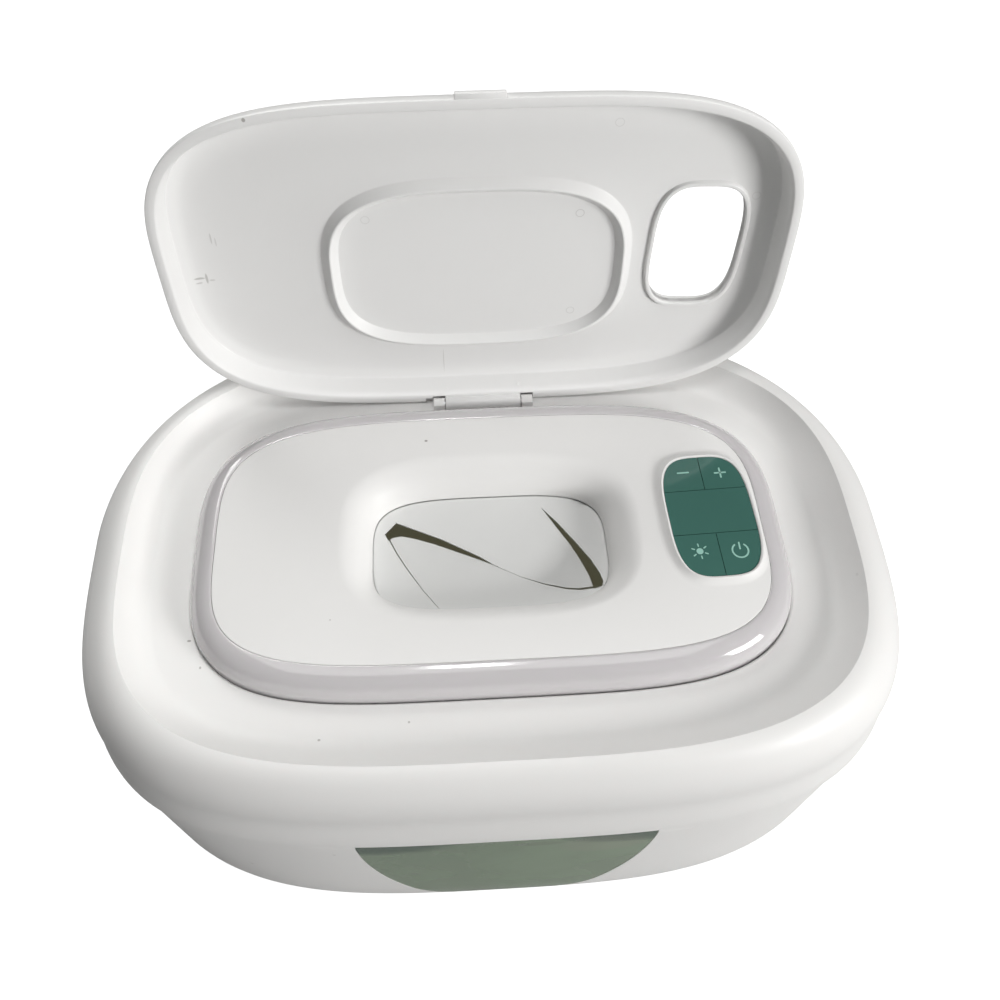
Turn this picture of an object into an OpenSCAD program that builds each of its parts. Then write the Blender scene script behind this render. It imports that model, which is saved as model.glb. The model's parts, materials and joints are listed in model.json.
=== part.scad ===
// Baby wipe warmer with a flip lid, a light ring and a hinged cover.
// Millimetres. X runs to the right, Y to the back, Z up.
// The origin is on the table under the middle of the body.
// The flip lid is drawn open, resting on its stop; everything else is closed.

/* [Body] */
// half width of the body at its widest line
wide_half_x = 125; // [118:0.5:132]
// half depth of the body at its widest line
wide_half_y = 89.2; // [86:0.2:92]
// rise from the seam to the widest line of the cover
wide_rise = 18.3; // [16.8:0.1:20]
// half width of the crease round the dish
crease_half_x = 111.6; // [108:0.2:114]
// half depth of the crease round the dish
crease_half_y = 72.4; // [70:0.2:74]
// rise from the widest line to the crease round the dish
roll_rise = 18; // [17.2:0.1:18.6]
// height of the seam between the base and the cover
seam_z = 87.5; // [86.5:0.1:88.5]
// how far the cover flares out at the seam
flare = 2.2; // [1.5:0.1:2.6]
// wall of the moulded shells
wall = 2.4; // [2.2:0.1:2.6]

/* [Top] */
// rise from the dish floor to the flat top panel
panel_rise = 8.5; // [8.1:0.1:8.7]
// half width of the top panel
panel_half_x = 83.4; // [82:0.2:85]
// half depth of the top panel
panel_half_y = 42.6; // [41.6:0.2:43.6]
// depth of the dish round the light ring
dish_depth = 7.3; // [7:0.1:7.8]
// width of the light ring seen from above
ring_width = 7.5; // [7:0.1:7.8]
// half width of the dispensing opening
mouth_half_x = 36.8; // [35:0.2:38]
// half depth of the dispensing opening
mouth_half_y = 20.6; // [19.6:0.2:21.4]
// depth of the dispensing opening's edge below the panel
mouth_depth = 9.1; // [8.8:0.1:9.6]

/* [Flip lid] */
// how far the lid stands out past the panel
lid_reach = 12.3; // [12:0.1:12.6]
// angle between the closed lid and the open stop
lid_open = 98; // [92:1:98]
// rise from the panel to the closed lid's crown
crown_rise = 5.8; // [5.6:0.1:7]
// depth of the sealing rib under the lid
rib_depth = 3; // [2:0.2:3]
// half length of the lid's hinge barrel
barrel_half = 12.8; // [11:0.2:15]

/* [Controls] */
// half width of the dark control area
glass_half_x = 13.1; // [12.6:0.1:13.3]
// half depth of the dark control area
glass_half_y = 21.2; // [20:0.2:22]
// turn of the control area about the vertical
glass_turn = 2; // [0:0.5:3]
// how far a key travels
key_travel = 0.5; // [0.3:0.1:0.6]

/* [Base] */
// height of the rubber feet
foot_height = 2.5; // [2:0.1:3]
// half width of the viewing window
window_half = 45; // [36:1:48]
// height of the viewing window
window_height = 69; // [50:1:70]
// how far the cover's edge stands out past the base
seam_step = 1; // [0.8:0.1:1.2]
// how far the base's front and back bulge out below the seam
base_bulge = 2.6; // [1.6:0.2:3.2]

/* [Hidden] */
part_name = "baby wipe warmer";
// points round an outline
around = 48;
facets = 48;
little = 0.01;
over = 2;

// named clearances
seam_gap = 0.3;
running_gap = 0.05;
pin_gap = 0.02;
slip_gap = 0.1;
seat_gap = 0.1;
fit_gap = 0.3;
swing_gap = 0.4;

// the hinge stands out at the back, so the body's middle lies in front of the origin
body_y = -3.7;
// centres of the top panel and of the mouth
panel_y = body_y - 8.4;
mouth_y = body_y - 10.6;

// heights, each from the one below
floor_z = foot_height;
wide_z = seam_z + wide_rise;
crease_z = wide_z + roll_rise;
deck_z = crease_z - dish_depth;
panel_z = deck_z + panel_rise;
mouth_z = panel_z - mouth_depth;
crown_z = panel_z + crown_rise;

// the base follows the cover's edge
base_half_x = wide_half_x + flare - seam_step;
base_top_half_y = wide_half_y + flare - seam_step;
base_low_half_y = base_top_half_y + base_bulge;

// outlines: half width, half depth, front and rear squareness, centre in Y
wide_line = [wide_half_x, wide_half_y, 3.54, 1.96, body_y];
crease_line = [crease_half_x, crease_half_y, 3.36, 2.76, body_y - 6.9];
panel_line = [panel_half_x, panel_half_y, 4.18, 3.76, panel_y];
base_top_line = [base_half_x, base_top_half_y, 3.54, 1.96, body_y];
base_low_line = [base_half_x, base_low_half_y, 3.17, 2.2, body_y];
mouth_line = [mouth_half_x, mouth_half_y, 3.77, 3.77, mouth_y];

// cover
flare_steps = 3;
roll_steps = 6;
inner_steps = 4;
dish_steps = 4;
dish_run = 9.5;
ring_gap = 0.4;
edge_round = 0.9;
ledge_z = deck_z - 2.3;
ledge_inner = 4;
under_dish_z = deck_z + 1.2;

// light ring
ring_wall = 2;
ring_steps = 5;
ring_foot_z = ledge_z + seat_gap;
ring_spring_z = deck_z + 1.5;
ring_inner = 0.15;

// top panel
panel_gap = 0.2;
panel_wall = 2;
panel_edge = 0.4;
funnel_x = 9.8;
funnel_y = 9.2;
recess_half_x = mouth_half_x + funnel_x;
recess_half_y = mouth_half_y + funnel_y;
recess_square = 3;
recess_centre_y = body_y - 9;
recess_steps = 6;
recess_line = [recess_half_x, recess_half_y, recess_square, recess_square, recess_centre_y];
lip_z = mouth_z - 1.2;

// flap stack under the mouth
flap_gap = 0.2;
flap_thick = 1.2;
flap_top_z = lip_z - flap_gap;
flap_rim = 5.2;
retainer_thick = 1.7;
retainer_top_z = flap_top_z - flap_thick - seat_gap;
retainer_rim = 5.8;
liner_top_z = retainer_top_z - retainer_thick - seat_gap;
slit_width = 0.5;

// liner, seal and tank
liner_wall = 1.8;
liner_rise = 7.1;
liner_low_z = seam_z + liner_rise;
liner_inset = 6;
liner_foot = 6;
liner_crown = 16;
liner_mouth = 0.6;
tongue_top_z = seam_z + 3.5;
tank_wall = 1.6;
flange_z = tongue_top_z + 0.15;
flange_thick = 1.45;
seal_low_z = flange_z + flange_thick + seam_gap;
seal_inner = 11;
seal_outer = 8;
tank_rise = 19.5;
tank_low_z = floor_z + tank_rise;

// lid
lid_pin_r = 1;
hinge_x = 0.8;
lid_axis_out = 0.1;
lid_axis_y = panel_y + panel_half_y + lid_reach + lid_axis_out;
lid_axis_rise = 0.5;
lid_axis_z = deck_z + lid_axis_rise;
lid_rim_z = lid_axis_z + 1.2;
lid_spring_z = lid_axis_z + 2;
lid_round = 14;
lid_steps = 5;
lid_wall = 2.4;
lid_cap_line = [56, 22, 3, 3, panel_y];
barrel_r = 2.2;
knuckle_r = 2.3;
knuckle_wide = 3.7;
notch_r = 3;
low_notch_r = 2.3;
low_notch = 2.6;
rib_wall = 2.2;
rib_clear_x = 3.6;
rib_clear_y = 3.4;
rib_line = [recess_half_x - rib_clear_x, recess_half_y - rib_clear_y, 3.1, 3.1, body_y - 9.8];
collar_wall = 2;
collar_depth = 1.2;
hole_margin = 0.5;
tab_x = 1;
tab_half = 7;
tab_reach = 1.6;
tab_thick = 1.8;
gusset_high = 4.5;
gusset_deep = 4.4;
arm_high = 3.2;
gusset_thick = 0.9;
barrel_ribs = [-6.7, -0.4, 6.1];
barrel_rib_thick = 0.7;
barrel_rib_high = 3.4;
barrel_rib_deep = 3.2;

// cover hinge
hinge_stand = 5.6;
rear_axis_y = body_y + base_top_half_y + hinge_stand;
rear_axis_z = seam_z;
rear_pin_r = 1.5;
rear_knuckle_r = 3.8;
rear_knuckle_half = 15;
rear_ear = 6.6;
bracket_drop = 19.5;
bracket_low_z = seam_z - bracket_drop;
bracket_seat = 1.1;
bracket_in_y = body_y + base_top_half_y - bracket_seat;
bracket_out_y = rear_axis_y - rear_knuckle_r - fit_gap;
ear_low = 8;
leaf_half = 14;
leaf_high = 8.5;
leaf_seat = 0.4;
leaf_in_y = body_y + base_top_half_y - leaf_seat;
leaf_out_y = rear_axis_y - rear_knuckle_r - seat_gap;

// controls
glass_in = 15.2;
glass_x = panel_half_x - glass_in;
glass_y = body_y - 7.2;
glass_square = 3.45;
glass_z = panel_z + 1;
key_gap = 0.1;
top_key_edge = 9;
low_key_edge = -6.6;
key_thick = 1.3;
lens_thick = 1.9;
hole_ledge = 1.6;
bezel_run = 3.3;
bezel_z = panel_z + 1.3;
bezel_steps = 4;
stem_r = 1.6;
stem_x = 6;
top_stem_y = 14.6;
low_stem_y = -13.6;
board_thick = 1.6;
board_drop = 6.1;
board_z = panel_z - board_drop;
board_inset = 1;
board_tab_x = 5;
board_tab_y = 25.4;
switch_half = 2.2;
switch_tall = 1.3;
switch_cap_r = 1.1;
post_y = 22.6;
post_r = 1.8;
screw_r = 0.8;
screw_head_r = 1.5;
screw_head = 0.9;
post_bore = panel_z - panel_wall - board_z - 0.1;

// base
base_steps = 4;
turn_step = 18;
turn_deep = 54;
base_turn_run = 20;
tongue_outer = 2.4;
tongue_inner = 5.2;
flange_run = 38;
plate_rim = 30;
bottom_thick = 2.4;
plate_thick = 2.3;
foot_r = 6;
foot_seat = 0.8;
foot_in_x = 66.2;
foot_in_y = 51;
foot_x = base_half_x - foot_in_x;
foot_y = base_low_half_y - foot_in_y;
foot_places = [for (x = [-foot_x, foot_x]) for (y = [body_y - foot_y, body_y + foot_y]) [x, y]];
window_x = 0.8;
window_points = 24;
window_thick = 1.3;
window_rebate = 1.4;
window_frame = 3;
ear_from = rear_knuckle_half + fit_gap;
ear_to = ear_from + rear_ear;
base_screw_r = 1.4;
base_head_r = 2.6;
base_head = 1.3;
base_boss_r = 3.8;
base_boss = 11;
base_bite = 8;
base_screw_in = 34;
base_screw_places = [for (q = [42, 138, 222, 318]) rim_point(base_low_line, -base_screw_in, q)];
inlet_x = -55;
inlet_rise = 23.5;
inlet_z = floor_z + inlet_rise;
inlet_r = 7.7;
inlet_proud = 0.7;
inlet_face_y = rear_y(base_low_line, inlet_x) + inlet_proud;
inlet_deep = 12;
socket_r = 3.2;
socket_deep = 7;
contact_r = 1;

// heater and electronics under the tank
tank_reach = 3.2;
tank_side = 12;
tank_low_side = 16;
tank_turn = 19;
tank_flat = 26;
tank_neck = 6;
heater_rim = 30;
film_rim = 33;
pad_rim = 32;
pad_thick = 2.8;
heater_thick = 1.5;
heater_top_z = tank_low_z - seat_gap;
film_top_z = heater_top_z - heater_thick - seat_gap;
film_thick = 0.5;
pad_low_z = film_top_z - film_thick - seat_gap - pad_thick;
probe_x = 24;
probe_y = body_y + 12;
fuse_place = [probe_x, probe_y];
probe_place = [-probe_x, probe_y];
probe_slot_x = 13;
probe_slot_y = 3;
fuse_r = 1.8;
fuse_half = 5;
probe_r = 1.4;
probe_half = 3;
lead_r = 0.4;
lead = 5;
power_rise = 5.1;
power_z = floor_z + power_rise;
relay = [14, 15, 6];
relay_at = [-14, -9, board_thick];
socket = [10, 8, 5];
socket_at = [10, -12, board_thick];
can_at = [14, 7, board_thick];
can_r = 4;
can_high = 6.4;
power_half_x = 34;
power_half_y = 20;
board_x = -30;
board_y = body_y + 14;
board_corner = 4;
plate_post_r = 2.6;
post_holes = [for (x = [-1, 1]) for (y = [-1, 1])
  [x * (power_half_x - board_corner), y * (power_half_y - board_corner)]];

function mix(u, v, s) = u + (v - u) * s;
function power_of(v, e) = sign(v) * pow(abs(v), e);

// a point of an outline, pushed out along its normal
function rim_point(line, push, q) =
  let (e = sin(q) < 0 ? line[2] : line[3])
  let (x = line[0] * power_of(cos(q), 2 / e))
  let (y = line[1] * power_of(sin(q), 2 / e))
  let (nx = power_of(x / line[0], e - 1) / line[0])
  let (ny = power_of(y / line[1], e - 1) / line[1])
  let (size = norm([nx, ny]))
  [x + push * nx / size, y + push * ny / size + line[4]];

// how far back an outline reaches at a place along X
function rear_y(line, x) = line[4] + line[1] * pow(1 - pow(abs(x) / line[0], line[3]), 1 / line[3]);

function rim(line, push = 0) =
  [for (i = [0 : around - 1]) rim_point(line, push, (i + 0.5) * 360 / around)];

function lifted(points, z) = [for (p = points) [p[0], p[1], z]];

// a solid through a list of levels, each an outline, a push and a height
module skin(levels, loop = false) {
  rows = len(levels);
  last = loop ? rows : rows - 1;
  points = [for (l = levels) each lifted(rim(l[0], l[1]), l[2])];
  sides = [for (k = [0 : last - 1]) for (j = [0 : around - 1])
    let (a = k * around, b = ((k + 1) % rows) * around, n = (j + 1) % around)
    each [[a + j, b + j, b + n], [a + j, b + n, a + n]]];
  low = [[for (j = [0 : around - 1]) j]];
  high = [[for (j = [0 : around - 1]) (rows - 1) * around + around - 1 - j]];
  polyhedron(points, loop ? sides : concat(sides, low, high));
}

// a flat plate with the shape of an outline
module plate(line, push, low, high) {
  translate([0, 0, low])
  linear_extrude(high - low)
  polygon(rim(line, push));
}

module plate_ring(line, outer, inner, low, high) {
  translate([0, 0, low])
  linear_extrude(high - low)
  difference() {
    polygon(rim(line, outer));
    polygon(rim(line, inner));
  }
}

module rod_x(r, low, high) {
  translate([low, 0, 0])
  rotate([0, 90, 0])
  cylinder(r = r, h = high - low, $fn = facets);
}

module rod_y(r, low, high) {
  translate([0, high, 0])
  rotate([90, 0, 0])
  cylinder(r = r, h = high - low, $fn = facets);
}

module box(low, high) {
  translate(low)
  cube(high - low);
}

module both_sides() {
  children();
  mirror([1, 0, 0])
  children();
}

// the control area's own frame
module at_glass() {
  translate([glass_x, glass_y, 0])
  rotate([0, 0, glass_turn])
  children();
}

glass_line = [glass_half_x, glass_half_y, glass_square, glass_square, 0];

module glass_prism(grow, low, high) {
  at_glass()
  plate(glass_line, grow, low, high);
}

module at_lid_axis() {
  translate([hinge_x, lid_axis_y, lid_axis_z])
  children();
}

// the lid is modelled closed and swung open about its pin
module swung_open() {
  translate([0, lid_axis_y, lid_axis_z])
  rotate([-lid_open, 0, 0])
  translate([0, -lid_axis_y, -lid_axis_z])
  children();
}

// cover profile
function flare_at(u) = flare * (1 + cos(180 * u)) / 2;
function skirt_z(u) = mix(seam_z, wide_z, u);

cover_outside = [
  for (i = [0 : flare_steps - 1])
    [wide_line, flare_at(i / flare_steps), skirt_z(i / flare_steps)],
  for (i = [0 : roll_steps])
    let (q = 90 * i / roll_steps)
    [mix(crease_line, wide_line, cos(q)), 0, wide_z + roll_rise * sin(q)],
  for (i = [1 : dish_steps])
    let (u = i / dish_steps)
    [crease_line, -dish_run * u, deck_z + (crease_z - deck_z) * pow(1 - u, 2)],
  for (i = [0 : 2])
    let (q = 45 * i)
    [panel_line, ring_width + ring_gap + edge_round * (1 - sin(q)), deck_z - edge_round * (1 - cos(q))]
];

cover_inside = [
  [panel_line, ring_width + ring_gap, ledge_z],
  [panel_line, -ledge_inner, ledge_z],
  [panel_line, -ledge_inner, ledge_z - wall],
  [panel_line, ring_width + wall, ledge_z - wall],
  [crease_line, 1 - dish_run, deck_z - wall],
  [crease_line, -dish_run / 3, under_dish_z],
  [mix(crease_line, wide_line, 0.25), -wall, under_dish_z + 2.5],
  for (i = [0 : inner_steps - 1])
    let (q = 60 * (1 - i / inner_steps))
    [mix(crease_line, wide_line, cos(q)), -wall, wide_z + (roll_rise - wall) * sin(q)],
  for (i = [0 : 2])
    let (u = 1 - i / 2)
    [wide_line, flare_at(u) - wall, skirt_z(u)]
];

module cover_shell() {
  color("white")
  difference() {
    union() {
      skin(concat(cover_outside, cover_inside), loop = true);
      lid_hinge_seat();
      liner_bosses();
    }
    // trough for the lid's barrel
    at_lid_axis()
    rod_x(barrel_r + swing_gap, -barrel_half - fit_gap, barrel_half + fit_gap);
    // bores for both pins
    at_lid_axis()
    rod_x(lid_pin_r + pin_gap, -seat_half - over, seat_half + over);
    // pocket for the hinge leaf
    box([-leaf_half - slip_gap, leaf_in_y - seat_gap, seam_z - over],
      [leaf_half + slip_gap, rear_axis_y, seam_z + leaf_high + slip_gap]);
    for (p = boss_places)
      translate([p[0], p[1], liner_low_z])
      cylinder(r = liner_screw_r, h = liner_bite, $fn = facets);
  }
}

// the two knuckles stand in the dish behind the light ring
seat_half = barrel_half + fit_gap + knuckle_wide;
seat_low_z = lid_axis_z - barrel_r - swing_gap - 1.7;
seat_front_y = lid_axis_y - 3.4;
seat_rear_y = lid_axis_y + 3.6;

module lid_hinge_seat() {
  box([hinge_x - seat_half, seat_front_y, seat_low_z], [hinge_x + seat_half, seat_rear_y, deck_z]);
  translate([hinge_x, lid_axis_y, 0])
  both_sides() {
    translate([0, 0, lid_axis_z])
    rod_x(knuckle_r, barrel_half + fit_gap, seat_half);
    box([barrel_half + fit_gap, -knuckle_r, seat_low_z], [seat_half, knuckle_r, lid_axis_z]);
  }
}

boss_r = 3.6;
liner_screw_r = 1.1;
liner_bite = 12;
liner_head_r = 2.6;
liner_head = 1.3;
boss_in_x = 23.4;
boss_in_y = 1.1;
boss_x = panel_half_x - boss_in_x;
boss_y = panel_half_y - boss_in_y;
boss_places = [for (x = [-boss_x, boss_x]) for (y = [panel_y - boss_y, panel_y + boss_y]) [x, y]];

module liner_bosses() {
  for (p = boss_places)
    translate([p[0], p[1], liner_low_z + liner_wall + seat_gap])
    cylinder(r = boss_r, h = ledge_z - wall - liner_low_z - liner_wall - seat_gap + 1, $fn = facets);
}

// light ring: a quarter round shell from the dish floor up to the panel's edge
function ring_arc(run, rise, q) = [panel_line, run * cos(q), ring_spring_z + rise * sin(q)];

module light_ring() {
  ring_rise = panel_z - ring_spring_z;
  color("lavenderblush")
  skin(concat(
    [[panel_line, ring_width - ring_wall, ring_foot_z], [panel_line, ring_width, ring_foot_z]],
    [for (i = [0 : ring_steps - 1]) ring_arc(ring_width, ring_rise, 90 * i / ring_steps)],
    [[panel_line, ring_inner, panel_z], [panel_line, ring_inner, panel_z - ring_wall]],
    [for (i = [1 : ring_steps]) ring_arc(ring_width - ring_wall, ring_rise - ring_wall, 90 * (1 - i / ring_steps))]
  ), loop = true);
}

// top panel: flat, with a soft funnel down to the mouth
function funnel_line(u) = mix(recess_line, mouth_line, u);
function funnel_run(u) = 1 - pow(1 - u, 1.6);
function funnel_z(u) = mix(panel_z, mouth_z, pow(u, 1.8));

module top_panel() {
  color("white")
  difference() {
    union() {
      skin(concat(
        [[panel_line, -panel_gap, ledge_z + flap_gap],
          [panel_line, -panel_gap, panel_z - panel_edge],
          [panel_line, -panel_gap - panel_edge, panel_z]],
        [for (i = [0 : recess_steps])
          let (u = i / recess_steps)
          [funnel_line(funnel_run(u)), 0, funnel_z(u)]],
        [[mouth_line, 0, lip_z], [mouth_line, panel_wall, lip_z]],
        [for (i = [1 : recess_steps - 2])
          let (u = 1 - i / (recess_steps - 1))
          [funnel_line(funnel_run(u)), panel_wall, min(funnel_z(u) - 1, panel_z - panel_wall - little)]],
        [[recess_line, panel_wall, panel_z - panel_wall],
          [panel_line, -panel_gap - panel_wall, panel_z - panel_wall],
          [panel_line, -panel_gap - panel_wall, ledge_z + flap_gap]]
      ), loop = true);
      bezel();
      board_posts();
    }
    glass_prism(slip_gap, glass_z - lens_thick - seat_gap, bezel_z + over);
    glass_prism(-hole_ledge, panel_z - panel_wall - over, bezel_z);
    at_glass()
    for (side = [-1, 1])
      translate([0, side * post_y, board_z])
      cylinder(r = screw_r, h = post_bore, $fn = facets);
  }
}

// soft raised collar round the control area, cut off at the panel's edge
module bezel() {
  intersection() {
    at_glass()
    skin([for (i = [0 : bezel_steps])
      let (q = 90 * i / bezel_steps)
      [glass_line, bezel_run * (1 - sin(q)) + 0.7 * sin(q), mix(panel_z - 1, bezel_z, pow(sin(q), 1.4))]]);
    plate(panel_line, -panel_gap - panel_edge, panel_z - over, bezel_z + over);
  }
}

module board_posts() {
  at_glass()
  for (side = [-1, 1])
    translate([0, side * post_y, board_z + board_thick + seat_gap])
    cylinder(r = post_r, h = panel_z - panel_wall - board_z - board_thick, $fn = facets);
}

// silicone flap with a long slanting slit and a short slit at each end
slit_right = [33.4, -13.2];
slit_low = [-16.3, -17.6];
sag_left = [[-33, 8.6], [-29.4, 12.3], [2.7, -5.1], [2.7, -5.7], [-9.1, -0.4], [-17.8, 3.6], [-26.4, 6.6], [-31.3, 5.8]];
sag_right = [[17, 15.4], [23.6, 6.2], [28.5, -2], [33.9, -12.6], [31.6, -14.2], [29.9, -9.8], [26.9, -3.4], [22.2, 7.6]];
sweep_steps = 6;
sweep_bulge = 2.6;

function sweep_point(from, u) = mix(from, slit_right, u) - [0, sweep_bulge * sin(180 * u)];

module slot(from, to) {
  d = to - from;
  translate([from[0], from[1], 0])
  rotate([0, 0, atan2(d[1], d[0])])
  translate([-slit_width / 2, -slit_width / 2])
  square([norm(d) + slit_width, slit_width]);
}

module dispensing_flap() {
  from = sag_left[2];
  color("gainsboro")
  translate([0, 0, flap_top_z - flap_thick])
  linear_extrude(flap_thick)
  difference() {
    polygon(rim(mouth_line, flap_rim));
    translate([0, mouth_y]) {
      polygon(sag_left);
      polygon(sag_right);
      // the middle of the slit bows before it reaches the right end
      for (i = [0 : sweep_steps - 1])
        slot(sweep_point(from, i / sweep_steps), sweep_point(from, (i + 1) / sweep_steps));
      slot(sag_left[7], slit_low);
    }
  }
}

module flap_retainer() {
  color("whitesmoke")
  plate_ring(mouth_line, retainer_rim, 0.2, retainer_top_z - retainer_thick, retainer_top_z);
}

// liner: closes the cover's underside and rises to the flap
module cover_liner() {
  color("whitesmoke")
  difference() {
    skin([
      [wide_line, -liner_inset, liner_low_z],
      [wide_line, -liner_inset, liner_low_z + liner_wall],
      [panel_line, -liner_foot, liner_low_z + liner_wall],
      [panel_line, -liner_crown, liner_top_z],
      [mouth_line, liner_mouth, liner_top_z],
      [mouth_line, liner_mouth, liner_top_z - liner_wall],
      [panel_line, -liner_crown - liner_wall, liner_top_z - liner_wall],
      [panel_line, -liner_foot - liner_wall, liner_low_z]
    ], loop = true);
    for (p = boss_places)
      translate([p[0], p[1], liner_low_z - over])
      cylinder(r = liner_screw_r + slip_gap, h = liner_wall + 2 * over, $fn = facets);
  }
}

module liner_screws() {
  color("silver")
  for (p = boss_places)
    translate([p[0], p[1], liner_low_z - liner_head - seat_gap]) {
      cylinder(r = liner_head_r, h = liner_head, $fn = facets);
      cylinder(r = liner_screw_r - pin_gap, h = liner_bite, $fn = facets);
    }
}

module cover_seal() {
  color("lightgrey")
  plate_ring(wide_line, -seal_outer, -seal_inner, seal_low_z, liner_low_z);
}

// light board on the ledge under the ring
led_low = 0.8;
led_high = 4.8;
led_board = 0.8;
led_size = 2.4;
led_count = 12;
led_mid = (led_low + led_high) / 2;

module led_strip() {
  color("honeydew")
  plate_ring(panel_line, led_high, led_low, ledge_z + seat_gap, ledge_z + seat_gap + led_board);
}

module leds() {
  color("khaki")
  for (i = [0 : led_count - 1]) {
    p = rim_point(panel_line, led_mid, (i + 0.5) * 360 / led_count);
    translate([p[0] - led_size / 2, p[1] - led_size / 2, ledge_z + seat_gap + led_board])
    cube([led_size, led_size, 1]);
  }
}

// controls
module key(side, from, to, stem_y) {
  low = glass_z - key_thick;
  at_glass() {
    intersection() {
      plate(glass_line, 0, low, glass_z);
      box([side > 0 ? key_gap : -glass_half_x, from, low - over], [side > 0 ? glass_half_x : -key_gap, to, glass_z + over]);
    }
    translate([side * stem_x, stem_y, switch_top_z + key_travel + running_gap])
    cylinder(r = stem_r, h = low - switch_top_z - key_travel - running_gap, $fn = facets);
  }
}

switch_top_z = board_z + board_thick + switch_tall + 0.2;

module minus_key() {
  color("darkslategrey")
  key(-1, top_key_edge + key_gap, glass_half_y, top_stem_y);
}

module plus_key() {
  color("darkslategrey")
  key(1, top_key_edge + key_gap, glass_half_y, top_stem_y);
}

module light_key() {
  color("darkslategrey")
  key(-1, -glass_half_y, low_key_edge - key_gap, low_stem_y);
}

module power_key() {
  color("darkslategrey")
  key(1, -glass_half_y, low_key_edge - key_gap, low_stem_y);
}

module display_lens() {
  low = glass_z - lens_thick;
  color("darkslategrey")
  at_glass()
  intersection() {
    plate(glass_line, 0, low, glass_z);
    box([-glass_half_x, low_key_edge + key_gap, low - over], [glass_half_x, top_key_edge - key_gap, glass_z + over]);
  }
}

digit_half_x = 8;
digit_low_y = -5.4;
digit_high_y = 8;

module display_module() {
  color("dimgray")
  at_glass()
  box([-digit_half_x, digit_low_y, board_z + board_thick], [digit_half_x, digit_high_y, glass_z - lens_thick - seat_gap]);
}

module control_board() {
  color("darkgreen")
  difference() {
    union() {
      glass_prism(-board_inset, board_z, board_z + board_thick);
      at_glass()
      box([-board_tab_x, -board_tab_y, board_z], [board_tab_x, board_tab_y, board_z + board_thick]);
      at_glass()
      for (x = [-stem_x, stem_x])
        for (y = [low_stem_y, top_stem_y])
          translate([x, y, board_z + board_thick]) {
            translate([-switch_half, -switch_half, 0])
            cube([2 * switch_half, 2 * switch_half, switch_tall]);
            cylinder(r = switch_cap_r, h = switch_tall + 0.2, $fn = facets);
          }
    }
    at_glass()
    for (side = [-1, 1])
      translate([0, side * post_y, board_z - over])
      cylinder(r = screw_r + slip_gap, h = board_thick + 2 * over, $fn = facets);
  }
}

module board_screws() {
  color("silver")
  at_glass()
  for (side = [-1, 1])
    translate([0, side * post_y, board_z - screw_head - pin_gap]) {
      cylinder(r = screw_head_r, h = screw_head, $fn = facets);
      cylinder(r = screw_r - pin_gap, h = screw_head + post_bore - 0.4, $fn = facets);
    }
}

// flip lid, closed
lid_crown_round = crown_z - 0.6 - lid_spring_z;

module lid_body() {
  skin(concat(
    [[lid_cap_line, 0, crown_z - lid_wall - 0.2]],
    [for (i = [0 : lid_steps - 1])
      let (q = 90 * (1 - i / lid_steps))
      [panel_line, lid_reach - lid_wall - (lid_round - lid_wall) * (1 - cos(q)),
        lid_spring_z + (lid_crown_round - lid_wall) * sin(q)]],
    [[panel_line, lid_reach - lid_wall, lid_rim_z],
      [panel_line, lid_reach - 0.3, lid_rim_z],
      [panel_line, lid_reach, lid_rim_z + 0.4]],
    [for (i = [0 : lid_steps])
      let (q = 90 * i / lid_steps)
      [panel_line, lid_reach - lid_round * (1 - cos(q)), lid_spring_z + lid_crown_round * sin(q)]],
    [[lid_cap_line, 0, crown_z]]
  ));
}

module lid_closed() {
  ceiling_z = lid_spring_z + lid_crown_round - lid_wall;
  lid_front_y = panel_line[4] - panel_half_y - lid_reach;
  difference() {
    union() {
      lid_body();
      // sealing rib that drops into the funnel
      plate_ring(rib_line, 0, -rib_wall, ceiling_z - rib_depth, ceiling_z + 0.8);
      // collar round the hole for the controls
      at_glass()
      plate_ring(glass_line, hole_margin + collar_wall, hole_margin, ceiling_z - collar_depth, ceiling_z + 0.8);
      // finger tab
      box([tab_x - tab_half, lid_front_y - tab_reach, lid_rim_z + 0.2],
        [tab_x + tab_half, lid_front_y + 1, lid_rim_z + 0.2 + tab_thick]);
    }
    glass_prism(hole_margin, ceiling_z - collar_depth - over, crown_z + over);
    // room for the cover's knuckles, with a lower step at the left
    at_lid_axis() {
      both_sides()
      rod_x(notch_r, barrel_half, seat_half + fit_gap);
      rod_x(low_notch_r, -seat_half - low_notch, -seat_half);
    }
  }
}

module lid_barrel() {
  at_lid_axis() {
    rod_x(barrel_r, -barrel_half, barrel_half);
    // arm from the barrel into the lid's rear wall
    box([-barrel_half, -lid_wall, 0], [barrel_half, -0.2, arm_high]);
    // gussets up the wall's inner face at both ends of the barrel
    both_sides()
    translate([barrel_half - gusset_thick, 0, 0])
    rotate([90, 0, 90])
    linear_extrude(gusset_thick)
    polygon([[-1, 0], [-1, gusset_high], [-gusset_deep, gusset_high]]);
    // small ribs between the gussets
    for (x = barrel_ribs)
      translate([x - barrel_rib_thick / 2, 0, 0])
      rotate([90, 0, 90])
      linear_extrude(barrel_rib_thick)
      polygon([[-1, 0], [-1, barrel_rib_high], [-barrel_rib_deep, barrel_rib_high]]);
  }
}

module flip_lid() {
  color("white")
  swung_open()
  difference() {
    union() {
      lid_closed();
      lid_barrel();
    }
    at_lid_axis()
    rod_x(lid_pin_r + running_gap, -barrel_half - over, barrel_half + over);
  }
}

module lid_hinge_pin() {
  color("silver")
  at_lid_axis()
  rod_x(lid_pin_r, -seat_half, seat_half);
}

module cover_hinge_pin() {
  color("silver")
  translate([0, rear_axis_y, rear_axis_z])
  rod_x(rear_pin_r, -ear_to, ear_to);
}

// base profile: nearly upright, then a wide soft turn into the underside
function base_line(s) = mix(base_top_line, base_low_line, s);
turn_rise = 33.5;
turn_z = floor_z + turn_rise;

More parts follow.
